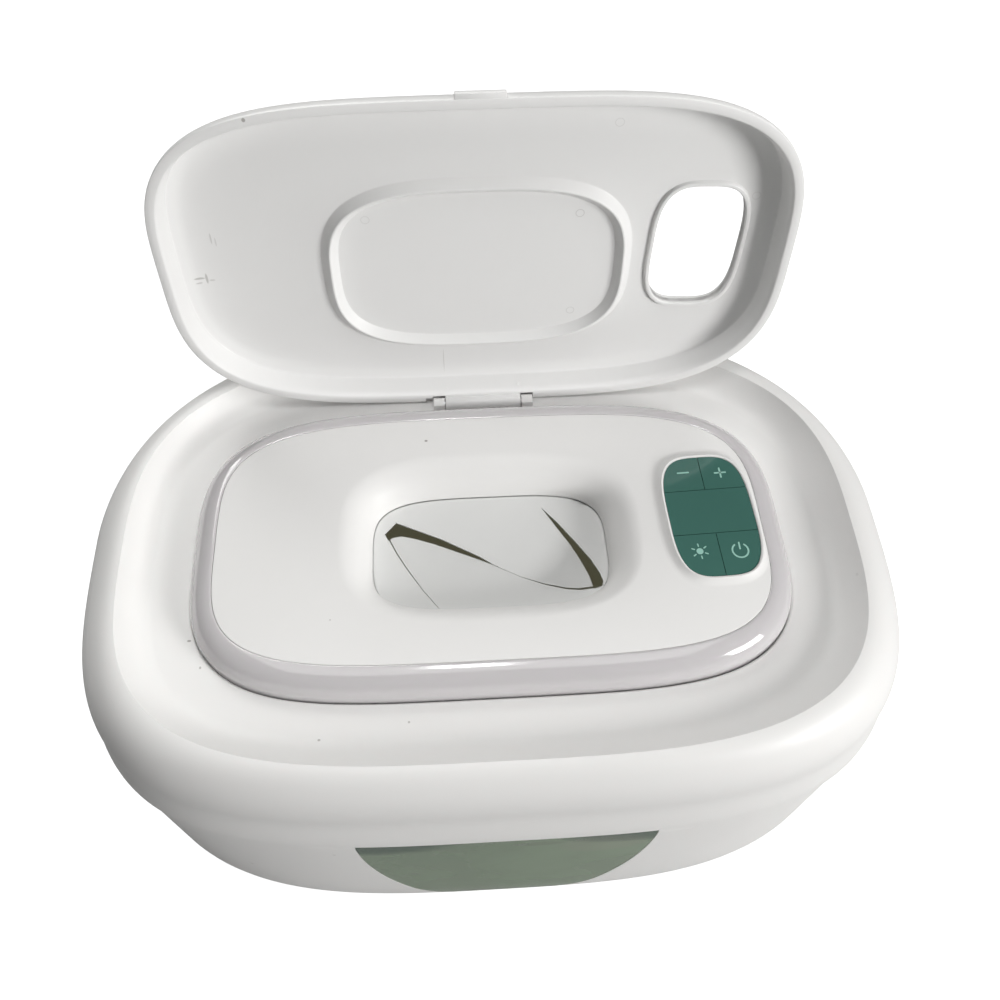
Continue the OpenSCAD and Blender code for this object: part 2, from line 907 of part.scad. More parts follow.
function base_outer(q) = base_turn_run * pow(1 - cos(q), 1.15);

function base_turn(q, push) = [base_low_line, push - base_outer(q), turn_z - turn_rise * sin(q)];
base_mid_z = mix(turn_z, seam_z, 0.4);
base_rim_z = seam_z - seam_gap;
rebate_z = floor_z + bottom_thick;
inner_floor_z = rebate_z + wall;

base_outside = [
  [base_low_line, -flange_run, rebate_z],
  [base_low_line, -plate_rim, rebate_z],
  [base_low_line, -plate_rim, floor_z],
  for (i = [0 : base_steps])
    base_turn(90 - turn_step * i, 0),
  [base_line(0.85), -0.1, turn_z],
  [base_line(0.5), 0, base_mid_z],
  [base_line(0), 0, base_rim_z - 0.4],
  [base_line(0), -0.3, base_rim_z],
  [base_line(0), -tongue_outer, base_rim_z],
  [base_line(0), -tongue_outer, tongue_top_z - 0.4],
  [base_line(0), -tongue_outer - 0.4, tongue_top_z]
];

base_inside = [
  [base_line(0), -tongue_inner, tongue_top_z],
  [base_line(0), -tongue_inner, seam_z - 3],
  [base_line(0.1), -wall - 0.2, seam_z - 7],
  [base_line(0.5), -wall, base_mid_z],
  [base_line(0.85), -wall - 0.1, turn_z],
  for (i = [1 : base_steps - 1])
    let (q = 90 * i / base_steps)
    [base_low_line, -wall - base_outer(q), turn_z - (turn_z - inner_floor_z) * sin(q)],
  [base_low_line, -flange_run, inner_floor_z]
];

module base_shell() {
  color("white")
  difference() {
    union() {
      skin(concat(base_outside, base_inside), loop = true);
      for (p = base_screw_places)
        translate([p[0], p[1], rebate_z])
        cylinder(r = base_boss_r, h = base_boss, $fn = facets);
    }
    // pocket for the hinge bracket
    box([-ear_to - slip_gap, bracket_in_y - seat_gap, bracket_low_z - slip_gap], [ear_to + slip_gap, rear_axis_y, seam_z]);
    // rebate and opening of the viewing window
    intersection() {
      window_band(window_rebate, over);
      window_prism(0, base_rim_z + little);
    }
    window_prism(-window_frame, base_rim_z - window_frame);
    translate([inlet_x, 0, inlet_z])
    rod_y(inlet_r + slip_gap, inlet_face_y - inlet_deep - over, rear_axis_y);
    for (p = base_screw_places)
      translate([p[0], p[1], rebate_z - over])
      cylinder(r = base_screw_r, h = base_bite + over, $fn = facets);
  }
}

// half ellipse seen from the front, its flat side under the seam
module window_prism(grow, top) {
  rotate([90, 0, 0])
  linear_extrude(base_half_x)
  intersection() {
    polygon([for (i = [0 : window_points])
      let (q = 180 + 180 * i / window_points)
      [window_x + (window_half + grow) * cos(q), base_rim_z + little + (window_height + grow) * sin(q)]]);
    translate([-base_half_x, 0])
    square([2 * base_half_x, top]);
  }
}

// the base's front wall down to a depth
module window_band(depth, proud) {
  skin([
    base_turn(turn_deep, -depth),
    base_turn(turn_deep, proud),
    for (i = [2 : base_steps])
      base_turn(90 - turn_step * i, proud),
    [base_line(0.85), proud - 0.1, turn_z],
    [base_line(0.5), proud, base_mid_z],
    [base_line(0), proud, base_rim_z + little],
    [base_line(0), -depth, base_rim_z + little],
    [base_line(0.5), -depth, base_mid_z],
    [base_line(0.85), -depth - 0.1, turn_z],
    for (i = [0 : base_steps - 2])
      base_turn(turn_step * (i + 1), -depth)
  ], loop = true);
}

// bracket on the base's rear wall, with an ear at each end of the hinge
module hinge_bracket() {
  color("white")
  difference() {
    union() {
      box([-ear_to, bracket_in_y, bracket_low_z], [ear_to, bracket_out_y, base_rim_z]);
      translate([0, rear_axis_y, rear_axis_z])
      both_sides() {
        rod_x(rear_knuckle_r, ear_from, ear_to);
        box([ear_from, bracket_in_y - rear_axis_y + 1, -ear_low], [ear_to, 0, -seam_gap]);
      }
    }
    translate([0, rear_axis_y, rear_axis_z])
    rod_x(rear_pin_r + pin_gap, -ear_to - over, ear_to + over);
  }
}

// leaf on the cover's rear wall, with the middle knuckle
module hinge_leaf() {
  color("white")
  difference() {
    union() {
      box([-leaf_half, leaf_in_y, seam_z + 0.4], [leaf_half, leaf_out_y, seam_z + leaf_high]);
      translate([0, rear_axis_y, rear_axis_z]) {
        rod_x(rear_knuckle_r, -rear_knuckle_half, rear_knuckle_half);
        box([-leaf_half, leaf_in_y - rear_axis_y + 1, 0.4], [leaf_half, 0, rear_knuckle_r]);
      }
    }
    translate([0, rear_axis_y, rear_axis_z])
    rod_x(rear_pin_r + running_gap, -rear_knuckle_half - over, rear_knuckle_half + over);
  }
}

module view_window() {
  color("darkseagreen")
  intersection() {
    window_band(window_thick, 0);
    window_prism(-slip_gap, base_rim_z - seat_gap);
  }
}

module bottom_plate() {
  color("gainsboro")
  difference() {
    union() {
      plate(base_low_line, -plate_rim - fit_gap, floor_z, floor_z + plate_thick);
      for (p = post_holes)
        translate([board_x + p[0], board_y + p[1], floor_z])
        cylinder(r = plate_post_r, h = power_z - floor_z - seat_gap, $fn = facets);
    }
    for (p = foot_places)
      translate([p[0], p[1], floor_z - over])
      cylinder(r = foot_r + slip_gap, h = over + foot_seat, $fn = facets);
    for (p = base_screw_places)
      translate([p[0], p[1], floor_z - over]) {
        cylinder(r = base_screw_r + slip_gap, h = plate_thick + 2 * over, $fn = facets);
        cylinder(r = base_head_r + fit_gap, h = over + base_head, $fn = facets);
      }
  }
}

module rubber_feet() {
  color("dimgray")
  for (p = foot_places)
    translate([p[0], p[1], 0])
    cylinder(r = foot_r, h = foot_height + foot_seat - seat_gap, $fn = facets);
}

module base_screws() {
  color("silver")
  for (p = base_screw_places)
    translate([p[0], p[1], floor_z]) {
      cylinder(r = base_head_r, h = base_head - seat_gap, $fn = facets);
      cylinder(r = base_screw_r - pin_gap, h = base_bite + bottom_thick - 1, $fn = facets);
    }
}

// water and wipe tank, hung by its flange on the base's rim
tank_line = base_line(0.5);
module inner_tank() {
  color("whitesmoke")
  skin([
    [tank_line, -tank_flat, tank_low_z],
    [tank_line, -tank_turn, tank_low_z + 1.8],
    [tank_line, -tank_low_side, tank_low_z + 8],
    [tank_line, -tank_side, flange_z - tank_neck],
    [tank_line, -tank_side, flange_z],
    [base_line(0), -tank_reach, flange_z],
    [base_line(0), -tank_reach, flange_z + flange_thick],
    [tank_line, -tank_side - tank_wall, flange_z + flange_thick],
    [tank_line, -tank_side - tank_wall, flange_z - tank_neck],
    [tank_line, -tank_low_side - tank_wall, tank_low_z + 8.4],
    [tank_line, -tank_turn - 0.6 - tank_wall, tank_low_z + 3],
    [tank_line, -tank_flat - 0.6, tank_low_z + tank_wall]
  ]);
}

module heater_plate() {
  color("silver")
  plate(tank_line, -heater_rim, heater_top_z - heater_thick, heater_top_z);
}

module probe_slots(grow) {
  for (p = [fuse_place, probe_place])
    box([p[0] - grow, p[1] - probe_slot_y, pad_low_z - over], [p[0] + grow, p[1] + probe_slot_y, film_top_z + over]);
}

module heating_film() {
  color("darkorange")
  difference() {
    plate(tank_line, -film_rim, film_top_z - film_thick, film_top_z);
    probe_slots(probe_slot_x);
  }
}

module insulation_pad() {
  color("lightgrey")
  difference() {
    plate(tank_line, -pad_rim, pad_low_z, film_top_z - film_thick - seat_gap);
    probe_slots(probe_slot_x);
  }
}

module thermal_fuse() {
  color("white")
  translate([fuse_place[0], fuse_place[1], film_top_z - fuse_r]) {
    rod_x(fuse_r, -fuse_half, fuse_half);
    rod_x(lead_r, -fuse_half - lead, fuse_half + lead);
  }
}

module thermistor() {
  color("black")
  translate([probe_place[0], probe_place[1], film_top_z - probe_r]) {
    rod_x(probe_r, -probe_half, probe_half);
    rod_x(lead_r, -probe_half - lead, probe_half);
  }
}

module power_board() {
  color("darkgreen")
  translate([board_x, board_y, power_z]) {
    difference() {
      box([-power_half_x, -power_half_y, 0], [power_half_x, power_half_y, board_thick]);
      for (p = post_holes)
        translate([p[0], p[1], -over])
        cylinder(r = base_screw_r + slip_gap, h = board_thick + 2 * over, $fn = facets);
    }
    // relay, capacitor and connector
    translate(relay_at)
    cube(relay);
    translate(socket_at)
    cube(socket);
    translate(can_at)
    cylinder(r = can_r, h = can_high, $fn = facets);
  }
}

module power_inlet() {
  color("dimgray")
  translate([inlet_x, 0, inlet_z])
  difference() {
    rod_y(inlet_r, inlet_face_y - inlet_deep, inlet_face_y);
    difference() {
      rod_y(socket_r, inlet_face_y - socket_deep, inlet_face_y + over);
      rod_y(contact_r, inlet_face_y - socket_deep - over, inlet_face_y - 1);
    }
  }
}

base_shell();
view_window();
bottom_plate();
rubber_feet();
base_screws();
inner_tank();
heater_plate();
heating_film();
insulation_pad();
thermal_fuse();
thermistor();
power_board();
power_inlet();
hinge_bracket();
cover_hinge_pin();
cover_shell();
hinge_leaf();
light_ring();
top_panel();
dispensing_flap();
flap_retainer();
cover_liner();
cover_seal();
liner_screws();
led_strip();
leds();
display_lens();
display_module();
control_board();
board_screws();
lid_hinge_pin();
flip_lid();
minus_key();
plus_key();
light_key();
power_key();
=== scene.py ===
import json
import math

import bmesh
import bpy
import numpy as np
from mathutils import Matrix, Vector


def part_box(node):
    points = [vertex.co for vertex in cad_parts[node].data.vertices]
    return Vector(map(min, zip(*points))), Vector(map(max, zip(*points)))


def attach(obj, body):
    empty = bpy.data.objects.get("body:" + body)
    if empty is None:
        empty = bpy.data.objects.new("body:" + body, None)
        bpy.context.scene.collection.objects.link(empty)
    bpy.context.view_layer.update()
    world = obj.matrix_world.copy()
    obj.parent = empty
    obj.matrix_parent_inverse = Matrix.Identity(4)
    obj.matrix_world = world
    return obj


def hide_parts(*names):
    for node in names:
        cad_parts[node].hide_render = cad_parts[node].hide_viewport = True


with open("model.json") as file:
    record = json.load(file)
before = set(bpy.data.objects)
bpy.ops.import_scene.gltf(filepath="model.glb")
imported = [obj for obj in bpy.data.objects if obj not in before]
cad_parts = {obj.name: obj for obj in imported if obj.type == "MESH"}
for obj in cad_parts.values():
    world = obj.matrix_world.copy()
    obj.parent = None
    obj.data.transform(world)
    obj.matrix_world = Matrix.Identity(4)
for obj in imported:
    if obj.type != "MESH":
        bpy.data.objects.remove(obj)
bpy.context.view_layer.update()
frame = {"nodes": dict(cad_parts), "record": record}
MM = 0.001
ROUND = 224

# outlines in millimetres: half width, half depth, front and rear squareness, centre in Y
BODY_Y = -3.7
PANEL_Y = BODY_Y - 8.4
WIDE = (125.0, 89.2, 3.54, 1.96, BODY_Y)
CREASE = (111.6, 72.4, 3.36, 2.76, BODY_Y - 6.9)
PANEL = (83.4, 42.6, 4.18, 3.76, PANEL_Y)
BASE_TOP = (126.2, 90.4, 3.54, 1.96, BODY_Y)
BASE_LOW = (126.2, 93.0, 3.17, 2.2, BODY_Y)
MOUTH = (36.8, 20.6, 3.77, 3.77, BODY_Y - 10.6)
RECESS = (46.6, 29.8, 3.0, 3.0, BODY_Y - 9.0)
RIB = (46.0, 29.9, 3.1, 3.1, BODY_Y - 2.3)
CAP = (56.0, 22.0, 3.0, 3.0, PANEL_Y)
GLASS = (13.1, 21.2, 3.45, 3.45, 0.0)

# heights, places, radii and walls in millimetres, angles in radians
SEAM_Z = 87.5
WIDE_Z = 105.8
CREASE_Z = 123.8
DECK_Z = 116.5
PANEL_Z = 125.0
MOUTH_Z = 115.9
GLASS_X = 68.2
GLASS_Y = BODY_Y - 7.2
GLASS_Z = PANEL_Z + 1.0
GLASS_TURN = math.radians(2.0)
HINGE_X = 0.8
AXIS_Y = BODY_Y + 46.6
AXIS_Z = 117.0
OPEN = math.radians(98.0)
REAR_Y = BODY_Y + 96.0
FLOOR_Z = 2.5
TURN_Z = 36.0
LEDGE_Z = DECK_Z - 2.1
FLARE = 2.2
COVER_WALL = 2.4
COVER_LEDGE = 2.3
BARREL_HALF = 12.8
SEAT_GAP = 0.3
KNUCKLE_WIDE = 3.7
KNUCKLE_R = 2.3
BARREL_R = 2.2
LID_PUSH = 12.3
TAB_HALF = 7
TAB_X = 1
POCKET_Y = REAR_Y - 6.1
POCKET_HALF = 22
BASE_WALL = 2.4
INSIDE_Z = 7.3
INLET_R = 7.8
INLET_X = -55
INLET_Z = 26
ICON_LOW = GLASS_Z - 0.05
ICON_HIGH = GLASS_Z + 0.025


def mix(u, v, s):
    """A value between two numbers or two outlines."""
    if isinstance(u, tuple):
        return tuple(a + (b - a) * s for a, b in zip(u, v))
    return u + (v - u) * s


def rim(line, push=0.0, n=ROUND):
    """Points of an outline, pushed out along its normal."""
    q = (np.arange(n) + 0.5) * 2 * math.pi / n
    c, s = np.cos(q), np.sin(q)
    e = np.where(s < 0, line[2], line[3])
    x = line[0] * np.sign(c) * np.abs(c) ** (2 / e)
    y = line[1] * np.sign(s) * np.abs(s) ** (2 / e)
    nx = np.sign(x) * np.abs(x / line[0]) ** (e - 1) / line[0]
    ny = np.sign(y) * np.abs(y / line[1]) ** (e - 1) / line[1]
    size = np.hypot(nx, ny)
    return np.stack([x + push * nx / size, y + push * ny / size + line[4]], 1)


def new_object(name, bm, sharp=35):
    mesh = bpy.data.meshes.new(name)
    bm.normal_update()
    bm.to_mesh(mesh)
    bm.free()
    obj = bpy.data.objects.new(name, mesh)
    bpy.context.scene.collection.objects.link(obj)
    smooth(obj, sharp)
    return obj


def smooth(obj, sharp=35):
    mesh = obj.data
    mesh.polygons.foreach_set("use_smooth", [True] * len(mesh.polygons))
    mesh.set_sharp_from_angle(angle=math.radians(sharp))
    mesh.update()


def as_drawn(x, y, z):
    return (x, y, z)


def band(point_rows, loop=False):
    """A mesh through rows of points in millimetres, with a cap at each end, or closed to a ring with loop."""
    bm = bmesh.new()
    rows = [[bm.verts.new(tuple(c * MM for c in point)) for point in row] for row in point_rows]
    for a, b in zip(rows, rows[1:] + rows[:1] if loop else rows[1:]):
        for j in range(len(a)):
            m = (j + 1) % len(a)
            bm.faces.new((a[j], a[m], b[m], b[j]))
    if not loop:
        bm.faces.new(list(reversed(rows[0])))
        bm.faces.new(rows[-1])
    return bm


def skin(name, levels, loop=False, n=ROUND, place=as_drawn):
    """A surface through levels of (outline, push, height) in millimetres."""
    rows = [[place(x, y, z) for x, y in rim(line, push, n)] for line, push, z in levels]
    return new_object(name, band(rows, loop))


def at_glass(x, y, z):
    """A point drawn round the glass, carried to its place on the panel."""
    c, s = math.cos(GLASS_TURN), math.sin(GLASS_TURN)
    return (GLASS_X + c * x - s * y, GLASS_Y + s * x + c * y, z)


def swing(obj):
    """Carries a piece drawn on the closed lid to the open lid."""
    turn = (
        Matrix.Translation((0, AXIS_Y * MM, AXIS_Z * MM))
        @ Matrix.Rotation(-OPEN, 4, "X")
        @ Matrix.Translation((0, -AXIS_Y * MM, -AXIS_Z * MM))
    )
    obj.data.transform(turn)
    obj.data.update()


def boolean(obj, tools, kind):
    """Cuts or keeps the tools' shapes, then removes the tools."""
    for tool in tools:
        mod = obj.modifiers.new(kind, "BOOLEAN")
        mod.operation = kind
        mod.solver = "EXACT"
        mod.object = tool
    graph = bpy.context.evaluated_depsgraph_get()
    graph.update()
    mesh = bpy.data.meshes.new_from_object(obj.evaluated_get(graph))
    obj.modifiers.clear()
    obj.data = mesh
    for tool in tools:
        bpy.data.objects.remove(tool)
    smooth(obj)
    return obj


def drum(name, r, low, high, axis="X", edge=0.25, centre=(0, 0, 0), n=48):
    """A turned rod between low and high along an axis, with softened ends."""
    e = min(edge, r * 0.5, (high - low) * 0.3)
    rows = []
    profile = [
        (r - e, low), (r - 0.3 * e, low + 0.3 * e), (r, low + e),
        (r, high - e), (r - 0.3 * e, high - 0.3 * e), (r - e, high),
    ]
    for rr, h in profile:
        row = []
        for j in range(n):
            q = 2 * math.pi * j / n
            u, v = rr * math.cos(q), rr * math.sin(q)
            p = {"X": (h, u, v), "Y": (v, h, u)}[axis]
            row.append(tuple(p[i] + centre[i] for i in range(3)))
        rows.append(row)
    return new_object(name, band(rows))


def block(name, low, high, edge):
    """A moulded block, its edges rounded where edge isn't 0."""
    bm = bmesh.new()
    bmesh.ops.create_cube(bm, size=1.0)
    size = [high[i] - low[i] for i in range(3)]
    for v in bm.verts:
        v.co = Vector(tuple((low[i] + (v.co[i] + 0.5) * size[i]) * MM for i in range(3)))
    if edge:
        bmesh.ops.bevel(bm, geom=bm.edges[:], offset=edge * MM, segments=2, affect="EDGES", profile=0.5)
    bmesh.ops.recalc_face_normals(bm, faces=bm.faces[:])
    return new_object(name, bm, 40)


def prism(name, points, low, high, place=as_drawn, sharp=35):
    """A flat shape between two heights, turned and moved by place."""
    bm = band([[place(x, y, z) for x, y in points] for z in (low, high)])
    bmesh.ops.recalc_face_normals(bm, faces=bm.faces[:])
    return new_object(name, bm, sharp)


def join(name, parts):
    """One object from several, with their meshes side by side."""
    bm = bmesh.new()
    for part in parts:
        bm.from_mesh(part.data)
    for part in parts:
        bpy.data.objects.remove(part)
    return new_object(name, bm)


def arc(cx, cz, rx, rz, a0, a1, steps):
    """Points along an ellipse, angles in degrees."""
    out = []
    for i in range(steps + 1):
        q = math.radians(mix(a0, a1, i / steps))
        out.append((cx + rx * math.cos(q), cz + rz * math.sin(q)))
    return out


# materials; a Mix node's colour sockets have the same name, so they are taken by number
MIX_FIRST, MIX_SECOND, MIX_RESULT = 6, 7, 2
ROUGH_SPAN = 0.05
SPECK = (0.25, 0.22, 0.2)
M = {}


def maths(nt, kind, operation, first, second=None):
    """A Math or Vector Math node on a link and a constant."""
    step = nt.nodes.new(kind)
    step.operation = operation
    nt.links.new(first, step.inputs[0])
    if second is not None:
        step.inputs[1].default_value = second
    return step.outputs["Value" if kind == "ShaderNodeMath" or operation == "LENGTH" else "Vector"]


def span(nt, value, low, high, start, end):
    """Maps a value's range from low to high onto start to end."""
    step = nt.nodes.new("ShaderNodeMapRange")
    for key, number in (("From Min", low), ("From Max", high), ("To Min", start), ("To Max", end)):
        step.inputs[key].default_value = number
    nt.links.new(value, step.inputs["Value"])
    return step.outputs["Result"]


def blend(nt, weight, first, second):
    """Mixes a second colour over a first one, which is a colour or a link."""
    step = nt.nodes.new("ShaderNodeMix")
    step.data_type = "RGBA"
    nt.links.new(weight, step.inputs[0])
    if isinstance(first, tuple):
        step.inputs[MIX_FIRST].default_value = first + (1,)
    else:
        nt.links.new(first, step.inputs[MIX_FIRST])
    step.inputs[MIX_SECOND].default_value = second + (1,)
    return step.outputs[MIX_RESULT]


def mark_or_shade(nt, place, last, middle, radii, ring, weight, tone):
    """A speck, a fine scratch, a patch of painted shade or, with ring above 0, a fine circle, at a point in
    millimetres.
    """
    off = maths(nt, "ShaderNodeVectorMath", "SUBTRACT", place, [c * MM for c in middle])
    off = maths(nt, "ShaderNodeVectorMath", "DIVIDE", off, [c * MM for c in radii])
    reach = maths(nt, "ShaderNodeVectorMath", "LENGTH", off)
    if ring:
        reach = maths(nt, "ShaderNodeMath", "ABSOLUTE", maths(nt, "ShaderNodeMath", "SUBTRACT", reach, 1.0))
    low, high = (0.0, ring) if ring else (0.65, 1.0)
    return blend(nt, span(nt, reach, low, high, weight, 0.0), last, tone)


def noise(nt, place, scale, detail):
    step = nt.nodes.new("ShaderNodeTexNoise")
    step.inputs["Scale"].default_value = scale
    step.inputs["Detail"].default_value = detail
    nt.links.new(place, step.inputs["Vector"])
    return step.outputs["Fac"]


def material(name, color, rough, **opts):
    """Adds a moulded surface with grain, faint tint changes and roughness changes."""
    mat = bpy.data.materials.new(name)
    mat.use_nodes = True
    nt = mat.node_tree
    bsdf = nt.nodes["Principled BSDF"]
    place = nt.nodes.new("ShaderNodeTexCoord").outputs["Object"]
    grain = noise(nt, place, opts.get("grain", 2400.0), 3.0)
    cloud = noise(nt, place, opts.get("cloud", 14.0), 4.0)
    shade = opts.get("shade", 0.03)
    last = blend(nt, cloud, tuple(c * (1 - shade) for c in color), tuple(min(1, c * (1 + shade)) for c in color))
    if "specks" in opts:
        dust = nt.nodes.new("ShaderNodeTexVoronoi")
        dust.inputs["Scale"].default_value = opts["speck_scale"]
        nt.links.new(place, dust.inputs["Vector"])
        last = blend(nt, span(nt, dust.outputs["Distance"], 0.02, 0.035, opts["specks"], 0.0), last, SPECK)
    for spot in opts.get("marks", ()):
        last = mark_or_shade(nt, place, last, *spot)
    nt.links.new(last, bsdf.inputs["Base Color"])
    gloss = span(nt, cloud, 0.0, 1.0, max(0.0, rough - ROUGH_SPAN), min(1.0, rough + ROUGH_SPAN))
    nt.links.new(gloss, bsdf.inputs["Roughness"])
    bump = nt.nodes.new("ShaderNodeBump")
    bump.inputs["Strength"].default_value = opts.get("bump", 0.12)
    bump.inputs["Distance"].default_value = 0.00012
    nt.links.new(grain, bump.inputs["Height"])
    nt.links.new(bump.outputs["Normal"], bsdf.inputs["Normal"])
    for key, value in opts.get("sockets", {}).items():
        bsdf.inputs[key].default_value = value
    M[name] = mat


# specks, scratches, pin marks and patches of painted shade: middle and radii in millimetres, width of a circle's line
# or 0, strength, colour
DIRT = (0.16, 0.14, 0.12)
SHELL_MARKS = [
    ((-90.1, -40.3, 116.5), (0.7, 0.4, 0.7), 0, 0.6, DIRT),
    ((-86.0, -48.9, 116.5), (0.4, 0.5, 0.5), 0, 0.5, DIRT),
    ((-50.9, -72.1, 116.5), (0.5, 0.4, 0.5), 0, 0.5, DIRT),
    ((-25.9, -68.3, 116.5), (0.4, 0.4, 0.5), 0, 0.45, DIRT),
]
PANEL_MARKS = [
    ((-18.8, 22.1, 125.0), (0.6, 0.45, 0.5), 0, 0.7, DIRT),
    ((-47.8, -39.8, 125.0), (0.35, 0.3, 0.3), 0, 0.3, DIRT),
]
PIN = (1.25, 1.25, 1.25)
LID_MARKS = [
    ((-61.5, 58.9, 221.9), (0.6, 1.2, 0.7), 0, 0.6, DIRT),
    ((-86.6, 60.3, 163.6), (2.0, 1.8, 0.45), 0, 0.4, DIRT),
    ((-84.4, 60.3, 163.4), (0.45, 1.8, 2.2), 0, 0.4, DIRT),
    ((-87.0, 60.3, 161.9), (1.3, 1.8, 0.35), 0, 0.3, DIRT),
    ((-82.8, 60.5, 162.7), (1.1, 1.8, 0.35), 0, 0.25, DIRT),
    ((-80.2, 62.4, 177.8), (0.3, 1.2, 2.4), 0, 0.25, DIRT),
    ((-79.0, 62.2, 176.6), (0.25, 1.2, 1.9), 0, 0.2, DIRT),
    ((-12.0, 53.5, 126.5), (0.14, 6.0, 5.5), 0, 0.3, DIRT),
    ((-33.5, 63.0, 182.4), PIN, 0.16, 0.16, DIRT),
    ((31.1, 63.0, 182.2), PIN, 0.16, 0.3, DIRT),
    ((40.4, 67.0, 211.2), PIN, 0.16, 0.16, DIRT),
    ((84.0, 63.6, 186.1), PIN, 0.16, 0.16, DIRT),
    ((30.2, 57.8, 145.4), PIN, 0.16, 0.22, DIRT),
]
# painted shade: a dark green that stands in for the shadow under the cover's overhang
SHADE = (0.02, 0.075, 0.04)
WINDOW_SHADE_AND_MARKS = [
    # the first two are painted shade under the cover's overhang at the pane's upper corners; then a smudge and two
    # changes in the pane's tone
    ((-42.0, -94.5, 85.0), (30.0, 12.0, 10.0), 0, 0.85, SHADE),
    ((44.0, -94.5, 86.0), (30.0, 12.0, 11.0), 0, 0.85, SHADE),
    ((10.0, -94.0, 80.0), (9.0, 6.0, 2.2), 0, 0.22, DIRT),
    ((30.0, -94.0, 76.0), (16.0, 8.0, 9.0), 0, 0.22, (0.36, 0.33, 0.27)),
    ((-26.0, -94.0, 70.0), (16.0, 8.0, 8.0), 0, 0.25, (0.2, 0.3, 0.19)),
]

material("shell_white", (0.82, 0.815, 0.805), 0.42, bump=0.10, specks=0.25, speck_scale=38.0,
         marks=SHELL_MARKS,
         sockets={"Specular IOR Level": 0.4, "Subsurface Weight": 0.05,
                  "Subsurface Radius": (0.004, 0.003, 0.003)})
material("panel_white", (0.83, 0.825, 0.815), 0.46, bump=0.10, marks=PANEL_MARKS,
         sockets={"Specular IOR Level": 0.25})
material("lid_white", (0.84, 0.838, 0.832), 0.36, bump=0.14, grain=1500.0, marks=LID_MARKS,
         sockets={"Specular IOR Level": 0.4})
material("ring_clear", (0.62, 0.602, 0.612), 0.1, bump=0.02, shade=0.02,
         sockets={"Subsurface Weight": 0.35, "Subsurface Radius": (0.006, 0.005, 0.006),
                  "Coat Weight": 0.6, "Coat Roughness": 0.06})
material("window_green", (0.24, 0.33, 0.215), 0.2, bump=0.05, grain=500.0, shade=0.3, cloud=26.0,
         marks=WINDOW_SHADE_AND_MARKS,
         sockets={"Transmission Weight": 0.35, "IOR": 1.49})
material("glass_green", (0.06, 0.163, 0.136), 0.12, bump=0.01, shade=0.06,
         sockets={"Coat Weight": 0.8, "Coat Roughness": 0.05})
material("flap_grey", (0.74, 0.745, 0.735), 0.45, bump=0.10, grain=900.0,
         sockets={"Subsurface Weight": 0.1, "Subsurface Radius": (0.002, 0.002, 0.002)})
# painted light: the inner white's faint emission is a painted glow, standing in for the light that reaches the tank's
# inside through the window and the slits
material("inner_white", (0.74, 0.74, 0.75), 0.5, bump=0.1,
         sockets={"Emission Color": (0.02, 0.019, 0.0115, 1), "Emission Strength": 1.0})
material("foot_grey", (0.06, 0.06, 0.065), 0.8, bump=0.3, grain=1800.0, shade=0.15)
material("seal_grey", (0.45, 0.46, 0.47), 0.7, bump=0.2, grain=1800.0, shade=0.1)
material("steel", (0.5, 0.5, 0.52), 0.32, bump=0.06, grain=3000.0, sockets={"Metallic": 1.0})
material("aluminium", (0.65, 0.66, 0.68), 0.36, bump=0.08, grain=700.0, sockets={"Metallic": 1.0})
material("film_amber", (0.5, 0.2, 0.02), 0.25, bump=0.05, shade=0.15)
material("pad_grey", (0.45, 0.45, 0.45), 0.95, bump=0.6, grain=1200.0, shade=0.2)
material("ceramic", (0.75, 0.73, 0.68), 0.3, bump=0.08)
material("probe_black", (0.015, 0.015, 0.015), 0.3, bump=0.1, shade=0.2)
material("board_green", (0.015, 0.11, 0.04), 0.35, bump=0.15, grain=900.0, shade=0.2)
material("inlet_dark", (0.045, 0.045, 0.05), 0.45, bump=0.15, shade=0.12)
material("display_dark", (0.01, 0.02, 0.02), 0.2, bump=0.03)
material("led_yellow", (0.7, 0.6, 0.25), 0.3, bump=0.05)
material("icon_mint", (0.33, 0.60, 0.52), 0.4, bump=0.03, shade=0.05)


def paint(obj, name):
    obj.data.materials.clear()
    obj.data.materials.append(M[name])


for part in frame["record"]["subparts"]:
    node = frame["nodes"][part["node"]]
    node.data.materials.clear()
    node.data.materials.append(M[part["material_slot"]])


# cover shell
def flare_at(u):
    """How far the skirt stands out, from the seam (0) up to the widest line (1)."""
    return FLARE * (1 + math.cos(math.pi * u)) / 2


